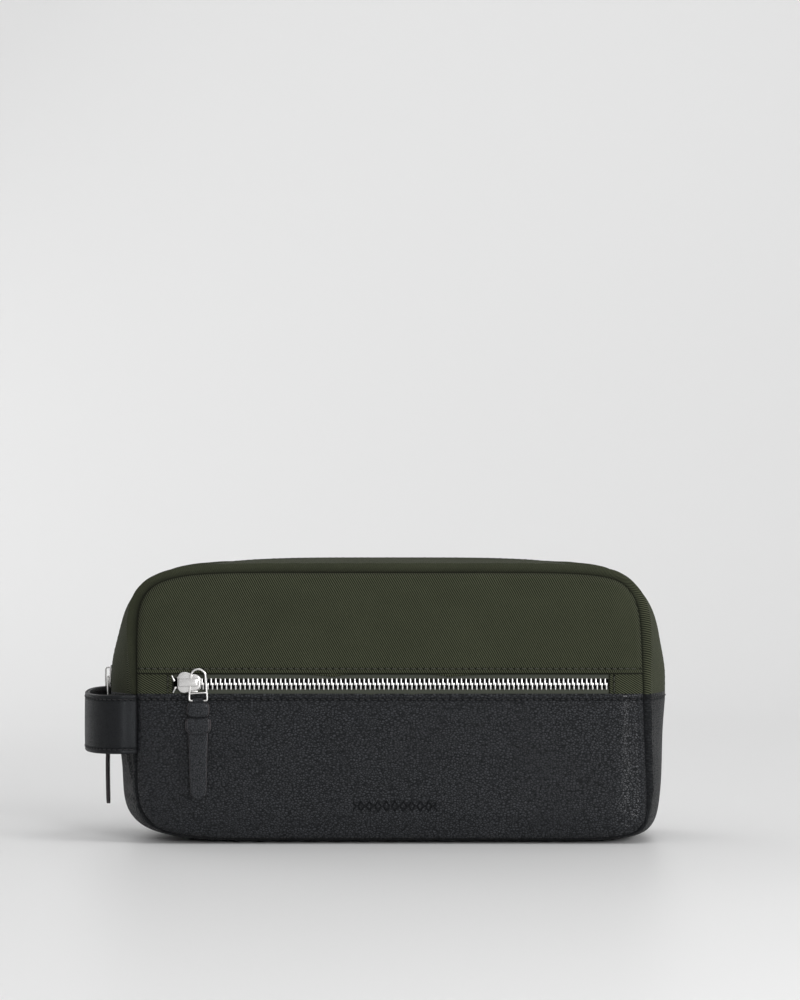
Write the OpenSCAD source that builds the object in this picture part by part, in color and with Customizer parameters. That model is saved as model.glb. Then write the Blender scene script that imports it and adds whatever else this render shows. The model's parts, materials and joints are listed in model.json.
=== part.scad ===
// Soft wash bag: a canvas and leather box with a zip over its top, a zipped
// front pocket, knotted leather pulls and a leather carrying loop on one end.
// X runs along the bag, the front faces -Y and the bag stands on z = 0.

/* [Bag] */
// Width of the front and back panels between their side seams
panel_w = 261; // [250:1:270]
// Height of the highest point of the panel seam
seam_top = 138.9; // [134:0.1:142]
// Height of the lowest point of the panel seam
seam_low = 2.1; // [1:0.1:4]
// Depth of the bag between the front and the back seams
depth = 100; // [90:1:110]
// How far the left end swells past its seams
swell_left = 15.9; // [10:0.1:18]
// How far the right end swells past its seams
swell_right = 12.4; // [8:0.1:16]
// How far the top swells above its seams
swell_top = 6.4; // [3:0.1:8]
// How far the base sags below its seams before the floor flattens it
swell_base = 3; // [2.5:0.1:4]
// How far the front and back panels bow out of their seams
panel_bow = 3.6; // [2:0.1:5]
// Squareness of the panel seam, as the exponent of a superellipse
seam_square = 8; // [6:0.5:10]
// Squareness of the upper half of the section half way between the seams
mid_square = 4.2; // [4:0.1:6]
// Share of the ends' swell that is lost at the base
low_taper = 0.5; // [0:0.05:0.7]
// Thickness of the canvas and of the leather
shell_t = 1; // [0.8:0.05:1]
// Height where the leather below meets the canvas above
edge_z = 76.4; // [70:0.1:80]
// Points round one section of the bag
sides = 48; // [32:4:64]

/* [Handle] */
// Width of the carrying loop's band
handle_w = 30; // [24:1:34]
// Height of the band's lower edge
handle_z = 46; // [40:1:48]
// Reach of the loop past the panel seam
handle_reach = 29; // [27:0.5:34]
// Thickness of each of the loop's two leather layers
handle_t = 1.3; // [1:0.1:1.5]

/* [Zips] */
// Distance from one tooth to the next on one side of a zip
tooth_pitch = 2.36; // [2.2:0.01:2.6]
// Width of a closed chain of teeth
chain_w = 5.8; // [5.4:0.1:6]
// Height of the front zip's middle
front_zip_z = 81.7; // [81.5:0.1:82]
// Distance from the front zip's middle to each folded edge beside it
window_half = 5.4; // [5.3:0.1:6]
// Left end of the front zip's window
window_left = -111.5; // [-112:0.5:-110]
// Right end of the front zip's window
window_right = 110.9; // [108:0.1:112]
// Place of the closed front slider along the zip
front_slider_x = -103; // [-104:0.1:-102]
// Height of the closed main slider on the left end
main_slider_z = 83.3; // [83.2:0.1:86]

/* [Pulls] */
// Thickness of the wire loops
wire_d = 1.15; // [1:0.05:1.2]
// Length of a wire loop between the middles of its two ends
loop_l = 16.15; // [15:0.05:17]
// Length of a leather pull below the wire
pull_l = 50.3; // [40:0.1:52]
// Width of a leather pull's tail
tail_w = 9.4; // [8:0.1:10]

/* [Hidden] */

canvas_c = [0.22, 0.24, 0.18];
leather_c = [0.15, 0.15, 0.17];
metal_c = [0.80, 0.80, 0.81];
tape_c = [0.20, 0.22, 0.16];
lining_c = [0.12, 0.12, 0.13];
board_c = [0.45, 0.40, 0.33];

half_w = panel_w / 2;
half_d = depth / 2;
front_y = -half_d - panel_bow;      // the flat middle of the front panel
end_x = half_w + swell_left - 0.4;  // the flat stretch under the main slider
bow_reach = 16;                     // distance from the seam to a panel's flat middle
gap = 0.05;                         // between layers that lie on each other
far = 400;

// Layers under the outer surface, as depths
tape_t = 0.5;
tape_mid = shell_t + gap + tape_t / 2;
tooth_t = 2.2;
lining_t = 0.5;
mouth_lining_at = 1.8;
end_lining_at = 2.6;
board_t = 2;
board_z = shell_t + 0.2;
lining_z = board_z + board_t + 0.2;

// Zip parts, across the chain
tooth_out = chain_w / 2;
tooth_in = 0.9;
tooth_w = 0.9;
tape_out = 13;
mouth_half = 5.5;

// Slider, in its own frame: x along the zip towards its closed part, -y out of the bag
running = 0.3;
plate_t = 0.9;
plate_y = -running;                 // inner face of the outer plate
wire_y = plate_y - plate_t - 0.25 - wire_d / 2;
crown_y = wire_y - wire_d / 2 - running;
crown_t = 0.9;
crown_w = 3.5;
crown_from = -5.6;
crown_to = 5.3;
foot_near = 1;
foot_far = 1.2;
pivot_x = crown_to - foot_far / 2;
slider_lift = 0.6;                  // the outer plate sits a little above the chain's middle
loop_r = 3.75;
loop_corner = 0.9;
crossbar_at = 12.2;
front_loop_up = 7.1;                // from the crown's foot to the top of the front wire loop

// Pull, in its own frame: the wire's bar is at the origin and the pull hangs along -z
wrap_r = 1.65;
wrap_w = 5.6;
lobe_w = 11.4;
lobe_top = 0.9;
lobe_low = 11;
head_w = 13;
head_low = 18;
head_t = 0.7;
tail_t = 2;
tip_w = 7.6;

// ---------- section of the bag ----------

function signed_pow(v, e) = sign(v) * pow(abs(v), e);

// How much of its full swell the bag has at depth y
function swell(y) = 1 - pow(min(abs(y) / half_d, 1), 2.5);

// Outline of the bag at depth y, drawn in X and Z, moved inwards by inset
function outline(y, inset, floor_z) =
    let (
        s = swell(y),
        upper_e = 2 / (seam_square + (mid_square - seam_square) * s),
        lower_e = 2 / seam_square,
        top = seam_top + swell_top * s - inset,
        low = seam_low - swell_base * s + inset,
        mid_z = (top + low) / 2,
        half_h = (top - low) / 2
    )
    [for (i = [0 : sides - 1])
        let (
            a = 360 * i / sides,
            e = sin(a) < 0 ? lower_e : upper_e,
            u = signed_pow(cos(a), e),
            v = signed_pow(sin(a), e),
            swollen = s * (1 + low_taper * min(v, 0)),
            reach = half_w - inset + swollen * (u < 0 ? swell_left : swell_right)
        )
        [max(u * reach, -end_x + inset), max(mid_z + half_h * v, floor_z)]];

// Depth of the panel's surface at a distance from its seam
function bow_y(d) = half_d + panel_bow * (1 - pow(1 - d / bow_reach, 2.2));

section_at = [0, 16, 30, 40, 47, half_d];
bow_at = [4, 9, bow_reach];

// One ring of the bag's surface at depth y
function ring(y, points) = [for (p = points) [p[0], y, p[1]]];

// The back half's rings, from the middle to the flat of the panel, mirrored by side
function half_rings(inset, floor_z, side) = concat(
    [for (y = section_at) ring(side * y * (1 - inset / half_d), outline(y, inset, floor_z))],
    [for (d = bow_at) ring(side * (bow_y(d) - inset), outline(half_d, inset + d, floor_z))]);

function flipped(list) = [for (i = [len(list) - 1 : -1 : 0]) list[i]];

// The whole bag as one solid, its surface moved inwards by inset
module bulk(inset = 0, floor_z = 0) {
    back = half_rings(inset, floor_z, 1);
    front = half_rings(inset, floor_z, -1);
    rings = concat(flipped([for (i = [1 : len(front) - 1]) front[i]]), back);
    last = (len(rings) - 1) * sides;
    polyhedron(
        points = [for (r = rings) for (p = r) p],
        faces = concat(
            [[for (i = [sides - 1 : -1 : 0]) i], [for (i = [0 : sides - 1]) last + i]],
            [for (j = [0 : len(rings) - 2], i = [0 : sides - 1])
                [j * sides + i, j * sides + (i + 1) % sides, (j + 1) * sides + (i + 1) % sides]],
            [for (j = [0 : len(rings) - 2], i = [0 : sides - 1])
                [j * sides + i, (j + 1) * sides + (i + 1) % sides, (j + 1) * sides + i]]));
}

// A layer of the bag between two depths under its surface
module layer(from, to, floor_from, floor_to) {
    difference() {
        bulk(from, floor_from);
        bulk(to, floor_to);
    }
}

module shell() {
    layer(0, shell_t, 0, shell_t);
}

// A box given by its lowest and highest corners
module span(low, high) {
    translate(low) cube(high - low);
}

module front_of_seam(z_from, z_to, x_from = -far, x_to = far) {
    span([x_from, -far, z_from], [x_to, -half_d + shell_t + gap, z_to]);
}

module behind_seam(z_from, z_to) {
    span([-far, half_d - shell_t - gap, z_from], [far, far, z_to]);
}

module between_seams(z_from, z_to) {
    span([-far, -half_d + shell_t + 2 * gap, z_from], [far, half_d - shell_t - 2 * gap, z_to]);
}

// ---------- panels ----------

module front_upper_panel() {
    color(canvas_c) intersection() {
        shell();
        front_of_seam(front_zip_z + window_half, far);
    }
}

module front_lower_panel() {
    color(leather_c) intersection() {
        shell();
        front_of_seam(-far, front_zip_z - window_half);
    }
}

module front_zip_end(x_from, x_to) {
    color(canvas_c) intersection() {
        shell();
        front_of_seam(front_zip_z - window_half + gap, front_zip_z + window_half - gap, x_from, x_to);
    }
}

module front_zip_end_left() { front_zip_end(-far, window_left); }
module front_zip_end_right() { front_zip_end(window_right, far); }

module back_upper_panel() {
    color(canvas_c) intersection() {
        shell();
        behind_seam(edge_z + gap, far);
    }
}

module back_lower_panel() {
    color(leather_c) intersection() {
        shell();
        behind_seam(-far, edge_z);
    }
}

// ---------- ends, top and base ----------

// One side of the canvas over the top: side is -1 at the front and 1 at the back
module mouth_strip(side) {
    color(canvas_c) intersection() {
        shell();
        between_seams(edge_z + gap, far);
        span([-far, side > 0 ? mouth_half : -far, -far], [far, side > 0 ? far : -mouth_half, far]);
    }
}

module mouth_strip_front() { mouth_strip(-1); }
module mouth_strip_back() { mouth_strip(1); }

base_corner_z = 24;

module end_leather(side) {
    color(leather_c) intersection() {
        shell();
        between_seams(base_corner_z + gap, edge_z);
        span([side > 0 ? 0 : -far, -far, -far], [side > 0 ? far : 0, far, far]);
    }
}

module end_leather_left() { end_leather(-1); }
module end_leather_right() { end_leather(1); }

module base_leather() {
    color(leather_c) intersection() {
        shell();
        between_seams(-far, base_corner_z);
    }
}

module base_board() {
    half_board = half_w - 16;
    board_half_d = half_d - 6;
    color(board_c) intersection() {
        bulk(board_z, board_z);
        translate([0, 0, board_z]) linear_extrude(board_t)
            polygon(rounded_points(2 * half_board, 2 * board_half_d, 8));
    }
}

// ---------- lining and bindings ----------

function arc_points(x, y, r, from, to, steps = 8) =
    [for (i = [0 : steps]) let (a = from + (to - from) * i / steps) [x + r * cos(a), y + r * sin(a)]];

function rounded_points(w, h, r) = concat(
    arc_points(w / 2 - r, h / 2 - r, r, 0, 90), arc_points(-w / 2 + r, h / 2 - r, r, 90, 180),
    arc_points(-w / 2 + r, -h / 2 + r, r, 180, 270), arc_points(w / 2 - r, -h / 2 + r, r, 270, 360));

pocket_y = front_y + 7.4;           // the pocket's back wall
pocket_half = 112;
pocket_low = 20;
pocket_top = front_zip_z + tape_out;

// A flat sheet cut to the bag's own section
module sheet(y, thickness, inset) {
    translate([0, y + thickness, 0]) rotate([90, 0, 0]) linear_extrude(thickness)
        polygon(outline(half_d, inset, lining_z));
}

module lining_front() {
    color(lining_c) sheet(pocket_y + lining_t + 0.3, lining_t, 5);
}

module lining_back() {
    color(lining_c) sheet(half_d - 2.4, lining_t, 5);
}

lining_front_y = -half_d + 5.6;
lining_back_y = half_d - 4;

module lining_base() {
    color(lining_c) intersection() {
        layer(end_lining_at, end_lining_at + lining_t, lining_z, lining_z + lining_t);
        span([-far, lining_front_y, -far], [far, lining_back_y, edge_z - 2.2]);
    }
}

module lining_mouth(side) {
    near = mouth_half + 1.5;
    color(lining_c) intersection() {
        layer(mouth_lining_at, mouth_lining_at + lining_t, 0, 0);
        span([-far, side > 0 ? near : lining_front_y, edge_z - 0.8],
            [far, side > 0 ? lining_back_y : -near, far]);
    }
}

module lining_mouth_front() { lining_mouth(-1); }
module lining_mouth_back() { lining_mouth(1); }

// Tape folded over the seam allowance, all round the inside of a seam
module seam_binding(y_from, y_to) {
    color(lining_c) translate([0, y_to, 0]) rotate([90, 0, 0]) linear_extrude(y_to - y_from)
        difference() {
            polygon(outline(half_d, 1.6, board_z));
            polygon(outline(half_d, 4.6, lining_z + 0.6));
        }
}

module seam_binding_front() { seam_binding(-half_d + 2.2, -half_d + 3.4); }
module seam_binding_back() { seam_binding(half_d - 3.6, half_d - 2.6); }

module pocket_front() {
    color(lining_c) span([-pocket_half, front_y + shell_t + tape_t + 3 * gap, pocket_low],
        [pocket_half, front_y + shell_t + tape_t + 3 * gap + lining_t, front_zip_z - window_half - 1.5]);
}

// The pocket's back wall, with the sides, base and top that close it to the front
module pocket_back() {
    wall_y = front_y + shell_t + tape_t + 4 * gap + lining_t;
    color(lining_c) difference() {
        span([-pocket_half, wall_y, pocket_low], [pocket_half, pocket_y, pocket_top]);
        span([-pocket_half + lining_t, wall_y - 1, pocket_low + lining_t],
            [pocket_half - lining_t, pocket_y - lining_t, pocket_top - lining_t]);
    }
}

// ---------- zips ----------

module front_zip_tape(side) {
    near = front_zip_z + side * tooth_out;
    edge = front_zip_z + side * tape_out;
    color(tape_c) span([-half_w + bow_reach + 0.5, front_y + tape_mid - tape_t / 2, min(near, edge)],
        [half_w - bow_reach - 0.5, front_y + tape_mid + tape_t / 2, max(near, edge)]);
}

module front_zip_tape_upper() { front_zip_tape(1); }
module front_zip_tape_lower() { front_zip_tape(-1); }

// One tooth, its middle at the origin: along x, reaching out along z on its own side
module tooth(side) {
    translate([-tooth_w / 2, -tooth_t / 2, side > 0 ? -tooth_in : -tooth_out])
        cube([tooth_w, tooth_t, tooth_in + tooth_out]);
}

teeth_from = window_left + 3.2;
teeth_to = window_right - 3.6;

module front_zip_teeth(side) {
    shift = side > 0 ? 0 : tooth_pitch / 2;
    color(metal_c) for (x = [teeth_from + shift : tooth_pitch : teeth_to + shift])
        translate([x, front_y + tape_mid, front_zip_z]) tooth(side);
}

module front_zip_teeth_upper() { front_zip_teeth(1); }
module front_zip_teeth_lower() { front_zip_teeth(-1); }

module front_zip_top_stops() {
    color(metal_c) for (side = [-1, 1])
        translate([window_left + 0.4, front_y + tape_mid - tooth_t / 2, front_zip_z + side * 1.6 - 1.1])
            cube([1.7, tooth_t, 2.2]);
}

module front_zip_bottom_stop() {
    color(metal_c) translate([window_right - 2.3, front_y + tape_mid - tooth_t / 2, front_zip_z - tooth_out])
        cube([2, tooth_t, chain_w]);
}

// The main zip's path: up the left end, over the top and down the right end
zip_from_z = edge_z + 0.8;
half_ring = [for (i = [0 : sides / 2]) outline(0, tape_mid, 0)[i]];

function at_height(p, q, z) = p + (q - p) * (z - p[1]) / (q[1] - p[1]);

right_start = at_height(half_ring[0], half_ring[1], zip_from_z);
left_end = at_height(half_ring[sides / 2], half_ring[sides / 2 - 1], zip_from_z);
zip_path = concat([right_start], [for (i = [1 : sides / 2 - 1]) half_ring[i]], [left_end]);

// Distance along the path to each of its points
zip_run = [for (i = 0, s = 0; i < len(zip_path);
    s = s + (i + 1 < len(zip_path) ? norm(zip_path[i + 1] - zip_path[i]) : 0), i = i + 1) s];

module along_zip(s) {
    i = max([for (k = [0 : len(zip_path) - 2]) if (zip_run[k] <= s) k]);
    step = zip_path[i + 1] - zip_path[i];
    p = zip_path[i] + step * (s - zip_run[i]) / norm(step);
    translate([p[0], 0, p[1]]) rotate([0, -atan2(step[1], step[0]), 0]) rotate([-90, 0, 0])
        children();
}

module main_zip_teeth(side) {
    shift = side > 0 ? 0 : tooth_pitch / 2;
    last = zip_run[len(zip_run) - 1] - tooth_w;
    color(metal_c) for (s = [tooth_w + shift : tooth_pitch : last]) along_zip(s) tooth(side);
}

module main_zip_teeth_front() { main_zip_teeth(-1); }
module main_zip_teeth_back() { main_zip_teeth(1); }

module main_zip_tape(side) {
    color(tape_c) intersection() {
        layer(tape_mid - tape_t / 2, tape_mid + tape_t / 2, 0, 0);
        span([-far, side > 0 ? tooth_out : -tape_out, edge_z - 6],
            [far, side > 0 ? tape_out : -tooth_out, far]);
    }
}

module main_zip_tape_front() { main_zip_tape(-1); }
module main_zip_tape_back() { main_zip_tape(1); }

stop_t = 1.3;
stop_gap = 0.4;
stop_z = edge_z - 1.9;

module main_zip_top_stops() {
    color(metal_c) for (side = [-1, 1])
        span([-end_x + shell_t + stop_gap, side * 1.6 - 1.1, stop_z],
            [-end_x + shell_t + stop_gap + stop_t, side * 1.6 + 1.1, stop_z + 1.7]);
}

module main_zip_bottom_stop() {
    x = half_w + swell_right - shell_t - gap;
    color(metal_c) span([x - stop_t, -tooth_out, stop_z], [x - 0.15, tooth_out, stop_z + 1.7]);
}

// ---------- carrying loop ----------

// Distance from a seam out to the loop's outer face, so both layers lie outside the panels' edge
handle_seat = 2 * handle_t + 0.1;

// A point of the loop's plan, moved outwards by offset, at angle a from its middle
function handle_point(a, offset) =
    let (e = 2 / 2.6)
    [-half_w - 0.2 - (handle_reach + offset) * signed_pow(cos(a), e),
        (half_d + handle_seat + offset) * signed_pow(sin(a), e)];

module handle_layer(inner, outer) {
    steps = 36;
    color(leather_c) translate([0, 0, handle_z]) linear_extrude(handle_w) polygon(concat(
        [for (i = [0 : steps]) handle_point(-90 + 180 * i / steps, outer)],
        [for (i = [steps : -1 : 0]) handle_point(-90 + 180 * i / steps, inner)]));
}

module handle_outer() { handle_layer(-handle_t + gap, 0); }
module handle_backing() { handle_layer(-2 * handle_t + gap, -handle_t); }

// ---------- sliders ----------

slider_l = 12;
nose_w = 10.4;
rear_w = 8.6;

// Plan of a slider plate: wide at its nose and narrower where the closed chain leaves it
function plate_points(r) = concat(
    arc_points(slider_l / 2 - r, rear_w / 2 - r, r, 0, 90, 6),
    arc_points(-slider_l / 2 + r, nose_w / 2 - r, r, 90, 180, 6),
    arc_points(-slider_l / 2 + r, -nose_w / 2 + r, r, 180, 270, 6),
    arc_points(slider_l / 2 - r, -rear_w / 2 + r, r, 270, 360, 6));

module flat_plate(y_out, y_in, lift) {
    translate([0, y_in, lift]) rotate([90, 0, 0]) linear_extrude(y_in - y_out) polygon(plate_points(2.8));
}

// The outer plate, with the flanges that hold the teeth from both sides
module slider_body(lift) {
    flange_out = 4.3;
    color(metal_c) union() {
        flat_plate(plate_y - plate_t, plate_y, lift);
        for (side = [-1, 1])
            translate([-slider_l / 2 + 1.5, plate_y - 0.1, side > 0 ? tooth_out + running : -flange_out])
                cube([slider_l - 3, tape_mid - tape_t / 2 - running - plate_y + 0.1,
                    flange_out - tooth_out - running]);
    }
}

module slider_plate() {
    from_y = tape_mid + tooth_t / 2 + running;
    color(metal_c) flat_plate(from_y, from_y + plate_t, 0);
}

// The crown: a low arch over the outer plate that the wire loop passes under
module slider_crown(lift) {
    base_y = plate_y - plate_t - gap / 5;
    top_y = crown_y - crown_t;
    color(metal_c) translate([0, 0, lift - crown_w / 2]) linear_extrude(crown_w) polygon([
        [crown_from, base_y], [crown_from, top_y + 0.7], [crown_from + 0.7, top_y],
        [crown_to - 0.7, top_y], [crown_to, top_y + 0.7], [crown_to, base_y],
        [crown_to - foot_far, base_y], [crown_to - foot_far, crown_y],
        [crown_from + foot_near, crown_y], [crown_from + foot_near, base_y]]);
}

// Moves a piece from the slider's own frame to the left end of the main zip
module on_main_zip() {
    translate([-end_x, 0, main_slider_z]) rotate([0, 0, -90]) rotate([0, -90, 0]) children();
}

module on_front_zip() {
    translate([front_slider_x, front_y, front_zip_z]) children();
}

module front_slider_body() { on_front_zip() slider_body(slider_lift); }
module front_slider_plate() { on_front_zip() slider_plate(); }
module front_slider_crown() { on_front_zip() slider_crown(slider_lift); }
module main_slider_body() { on_main_zip() slider_body(0); }
module main_slider_plate() { on_main_zip() slider_plate(); }
module main_slider_crown() { on_main_zip() slider_crown(0); }

// ---------- wire loops ----------

// A bend of the wire in the plane y = 0, round a centre, through part of a turn
module wire_bend(x, z, r, from, turn) {
    translate([x, 0, z]) rotate([90, 0, 0]) rotate([0, 0, from]) rotate_extrude(angle = turn, $fn = 48)
        translate([r, 0]) circle(d = wire_d, $fn = 24);
}

// A wire loop in the plane y = 0, its top's middle at the origin, hanging along -z
module wire_loop() {
    leg = loop_l - loop_r - loop_corner;
    color(metal_c) union() {
        wire_bend(0, -loop_r, loop_r, 0, 180);
        for (side = [-1, 1])
            translate([side * loop_r, 0, -loop_r - leg]) cylinder(h = leg, d = wire_d, $fn = 24);
        wire_bend(-loop_r + loop_corner, -loop_l + loop_corner, loop_corner, 180, 90);
        wire_bend(loop_r - loop_corner, -loop_l + loop_corner, loop_corner, 270, 90);
        translate([-loop_r + loop_corner, 0, -loop_l]) rotate([0, 90, 0])
            cylinder(h = 2 * (loop_r - loop_corner), d = wire_d, $fn = 24);
        translate([-loop_r, 0, -crossbar_at]) rotate([0, 90, 0])
            cylinder(h = 2 * loop_r, d = wire_d - 0.2, $fn = 24);
    }
}

// The front loop stands up past the crown's foot; the main loop hangs from under its crown
module at_front_loop() {
    translate([front_slider_x + pivot_x, front_y + wire_y, front_zip_z + slider_lift + front_loop_up])
        children();
}

module at_main_loop() {
    translate([-end_x + wire_y, 0, main_slider_z]) rotate([0, 0, -90]) children();
}

module front_wire_loop() { at_front_loop() wire_loop(); }
module main_wire_loop() { at_main_loop() wire_loop(); }

// ---------- leather pulls ----------

// A flat piece of the given outline (x, z), between two depths
module plate(points, y_from, y_to) {
    translate([0, y_to, 0]) rotate([90, 0, 0]) linear_extrude(y_to - y_from) polygon(points);
}

function tail_points() = concat(
    [[-tail_w / 2, -head_low + 2], [-tip_w / 2, -pull_l + tip_w / 2]],
    arc_points(0, -pull_l + tip_w / 2, tip_w / 2, 180, 360, 12),
    [[tail_w / 2, -head_low + 2]]);

function head_points() = concat(
    [[-head_w / 2, -lobe_low + 2], [-head_w / 2, -head_low + 4]],
    arc_points(-head_w / 2 + 4, -head_low + 4, 4, 180, 270, 6),
    arc_points(head_w / 2 - 4, -head_low + 4, 4, 270, 360, 6),
    [[head_w / 2, -lobe_low + 2]]);

// The knotted pull: folded over the wire, then through its own slot into a long tail
module pull() {
    color(leather_c) difference() {
        union() {
            rotate([0, 90, 0]) cylinder(h = wrap_w, r = wrap_r, center = true, $fn = 36);
            span([-wrap_w / 2, -wrap_r, -lobe_low], [wrap_w / 2, wrap_r, 0]);
            span([-lobe_w / 2, -wrap_r, -lobe_low], [lobe_w / 2, wrap_r, -lobe_top]);
            plate(head_points(), -wrap_r - head_t, wrap_r - 0.3);
            plate(tail_points(), -tail_t / 2, tail_t / 2);
        }
        rotate([0, 90, 0]) cylinder(h = far, d = wire_d + 0.1, center = true, $fn = 24);
    }
}

module front_pull() { at_front_loop() translate([0, 0, -loop_l]) pull(); }
module main_pull() { at_main_loop() translate([0, 0, -loop_l]) pull(); }

// ---------- parts ----------

front_upper_panel();
front_lower_panel();
front_zip_end_left();
front_zip_end_right();
front_zip_tape_upper();
front_zip_tape_lower();
front_zip_teeth_upper();
front_zip_teeth_lower();
front_zip_top_stops();
front_zip_bottom_stop();
back_upper_panel();
back_lower_panel();
mouth_strip_front();
mouth_strip_back();
main_zip_tape_front();
main_zip_tape_back();
main_zip_teeth_front();
main_zip_teeth_back();
main_zip_top_stops();
main_zip_bottom_stop();
end_leather_left();
end_leather_right();
base_leather();
base_board();
handle_outer();
handle_backing();
lining_front();
lining_back();
lining_base();
lining_mouth_front();
lining_mouth_back();
pocket_front();
pocket_back();
seam_binding_front();
seam_binding_back();
front_slider_body();
front_slider_plate();
front_slider_crown();
front_wire_loop();
front_pull();
main_slider_body();
main_slider_plate();
main_slider_crown();
main_wire_loop();
main_pull();
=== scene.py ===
"""Looks of a soft wash bag: canvas over leather, two metal zips, knotted pulls and a carrying loop.

Lengths are in millimetres until a mesh is made. X runs along the bag, its front faces -Y and it
stands on z = 0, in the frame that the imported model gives.
"""

import json
import logging
import math
from dataclasses import dataclass, field
from enum import Enum
from typing import Any, Sequence

import bmesh
import bpy
import numpy as np
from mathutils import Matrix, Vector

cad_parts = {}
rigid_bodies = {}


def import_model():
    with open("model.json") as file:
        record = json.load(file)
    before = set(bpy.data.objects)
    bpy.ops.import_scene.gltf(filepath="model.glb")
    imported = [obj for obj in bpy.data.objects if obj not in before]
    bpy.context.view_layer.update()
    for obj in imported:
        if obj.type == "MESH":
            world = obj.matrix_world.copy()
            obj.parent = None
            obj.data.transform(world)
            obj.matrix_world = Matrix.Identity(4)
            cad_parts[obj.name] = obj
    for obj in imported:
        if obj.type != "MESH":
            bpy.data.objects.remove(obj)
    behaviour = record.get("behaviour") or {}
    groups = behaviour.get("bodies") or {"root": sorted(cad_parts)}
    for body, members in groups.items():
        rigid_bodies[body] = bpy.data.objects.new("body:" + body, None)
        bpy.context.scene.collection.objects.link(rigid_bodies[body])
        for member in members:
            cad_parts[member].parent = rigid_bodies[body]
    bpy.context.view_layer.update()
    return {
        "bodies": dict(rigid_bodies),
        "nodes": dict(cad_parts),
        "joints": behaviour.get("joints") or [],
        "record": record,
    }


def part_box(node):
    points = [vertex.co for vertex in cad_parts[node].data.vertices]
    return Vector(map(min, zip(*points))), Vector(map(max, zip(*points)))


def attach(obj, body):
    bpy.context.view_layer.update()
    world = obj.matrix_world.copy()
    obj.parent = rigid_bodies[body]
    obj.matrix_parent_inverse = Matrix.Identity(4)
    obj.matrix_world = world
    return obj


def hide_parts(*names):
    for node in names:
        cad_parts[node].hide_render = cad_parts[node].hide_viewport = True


log = logging.getLogger("wash_bag")
MM = 0.001
TAU = 2 * math.pi
Colour = tuple[float, float, float]


class Body(Enum):
    """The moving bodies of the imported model."""

    BAG = "bag"
    FRONT_SLIDER = "front_slider"
    FRONT_LOOP = "front_loop"
    FRONT_TAB = "front_tab"
    MAIN_SLIDER = "main_slider"
    MAIN_LOOP = "main_loop"
    MAIN_TAB = "main_tab"


class Side(Enum):
    """Front or back of the bag, as the sign of y."""

    FRONT = -1
    BACK = 1


# ---------- shader graphs ----------


class Sock:
    """A shader socket with arithmetic: each operator adds one Math node."""

    def __init__(self, graph: "Graph", socket: bpy.types.NodeSocket) -> None:
        """Wraps one output socket of a graph."""
        self.graph = graph
        self.socket = socket

    def maths(self, operation: str, *values: Any, clamp: bool = False) -> "Sock":
        """Adds one Math node.

        Args:
            operation: The Math node's operation.
            values: Numbers or sockets, in the node's order.
            clamp: Whether the result is held between 0 and 1.

        Returns:
            The node's result.
        """
        settings = {"operation": operation, "use_clamp": clamp}
        return self.graph.node("ShaderNodeMath", settings, dict(enumerate(values)))

    def __add__(self, other: Any) -> "Sock":
        """Sum."""
        return self.maths("ADD", self, other)

    __radd__ = __add__

    def __mul__(self, other: Any) -> "Sock":
        """Product."""
        return self.maths("MULTIPLY", self, other)

    __rmul__ = __mul__

    def __sub__(self, other: Any) -> "Sock":
        """Difference."""
        return self.maths("SUBTRACT", self, other)

    def __rsub__(self, other: Any) -> "Sock":
        """Difference from a number."""
        return self.maths("SUBTRACT", other, self)

    def __truediv__(self, other: Any) -> "Sock":
        """Quotient."""
        return self.maths("DIVIDE", self, other)

    def __pow__(self, other: Any) -> "Sock":
        """Power."""
        return self.maths("POWER", self, other)

    def __abs__(self) -> "Sock":
        """Distance from zero."""
        return self.maths("ABSOLUTE", self)

    def wave(self, pitch: float) -> "Sock":
        """A wave from 0 to 1 with the given pitch."""
        turned = self * (TAU / pitch)
        return turned.maths("SINE", turned) * 0.5 + 0.5

    def off_grid(self, pitch: float) -> "Sock":
        """Signed distance to the nearest multiple of a pitch."""
        return (self.maths("FRACT", self / pitch + 0.5) - 0.5) * pitch

    def fade(self, start: float, end: float) -> "Sock":
        """Runs smoothly from 0 at start to 1 at end."""
        settings = {"interpolation_type": "SMOOTHSTEP"}
        return self.graph.node("ShaderNodeMapRange", settings, {0: self, 1: start, 2: end})

    def held(self) -> "Sock":
        """The value held between 0 and 1."""
        return self.maths("ADD", self, 0.0, clamp=True)


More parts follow.
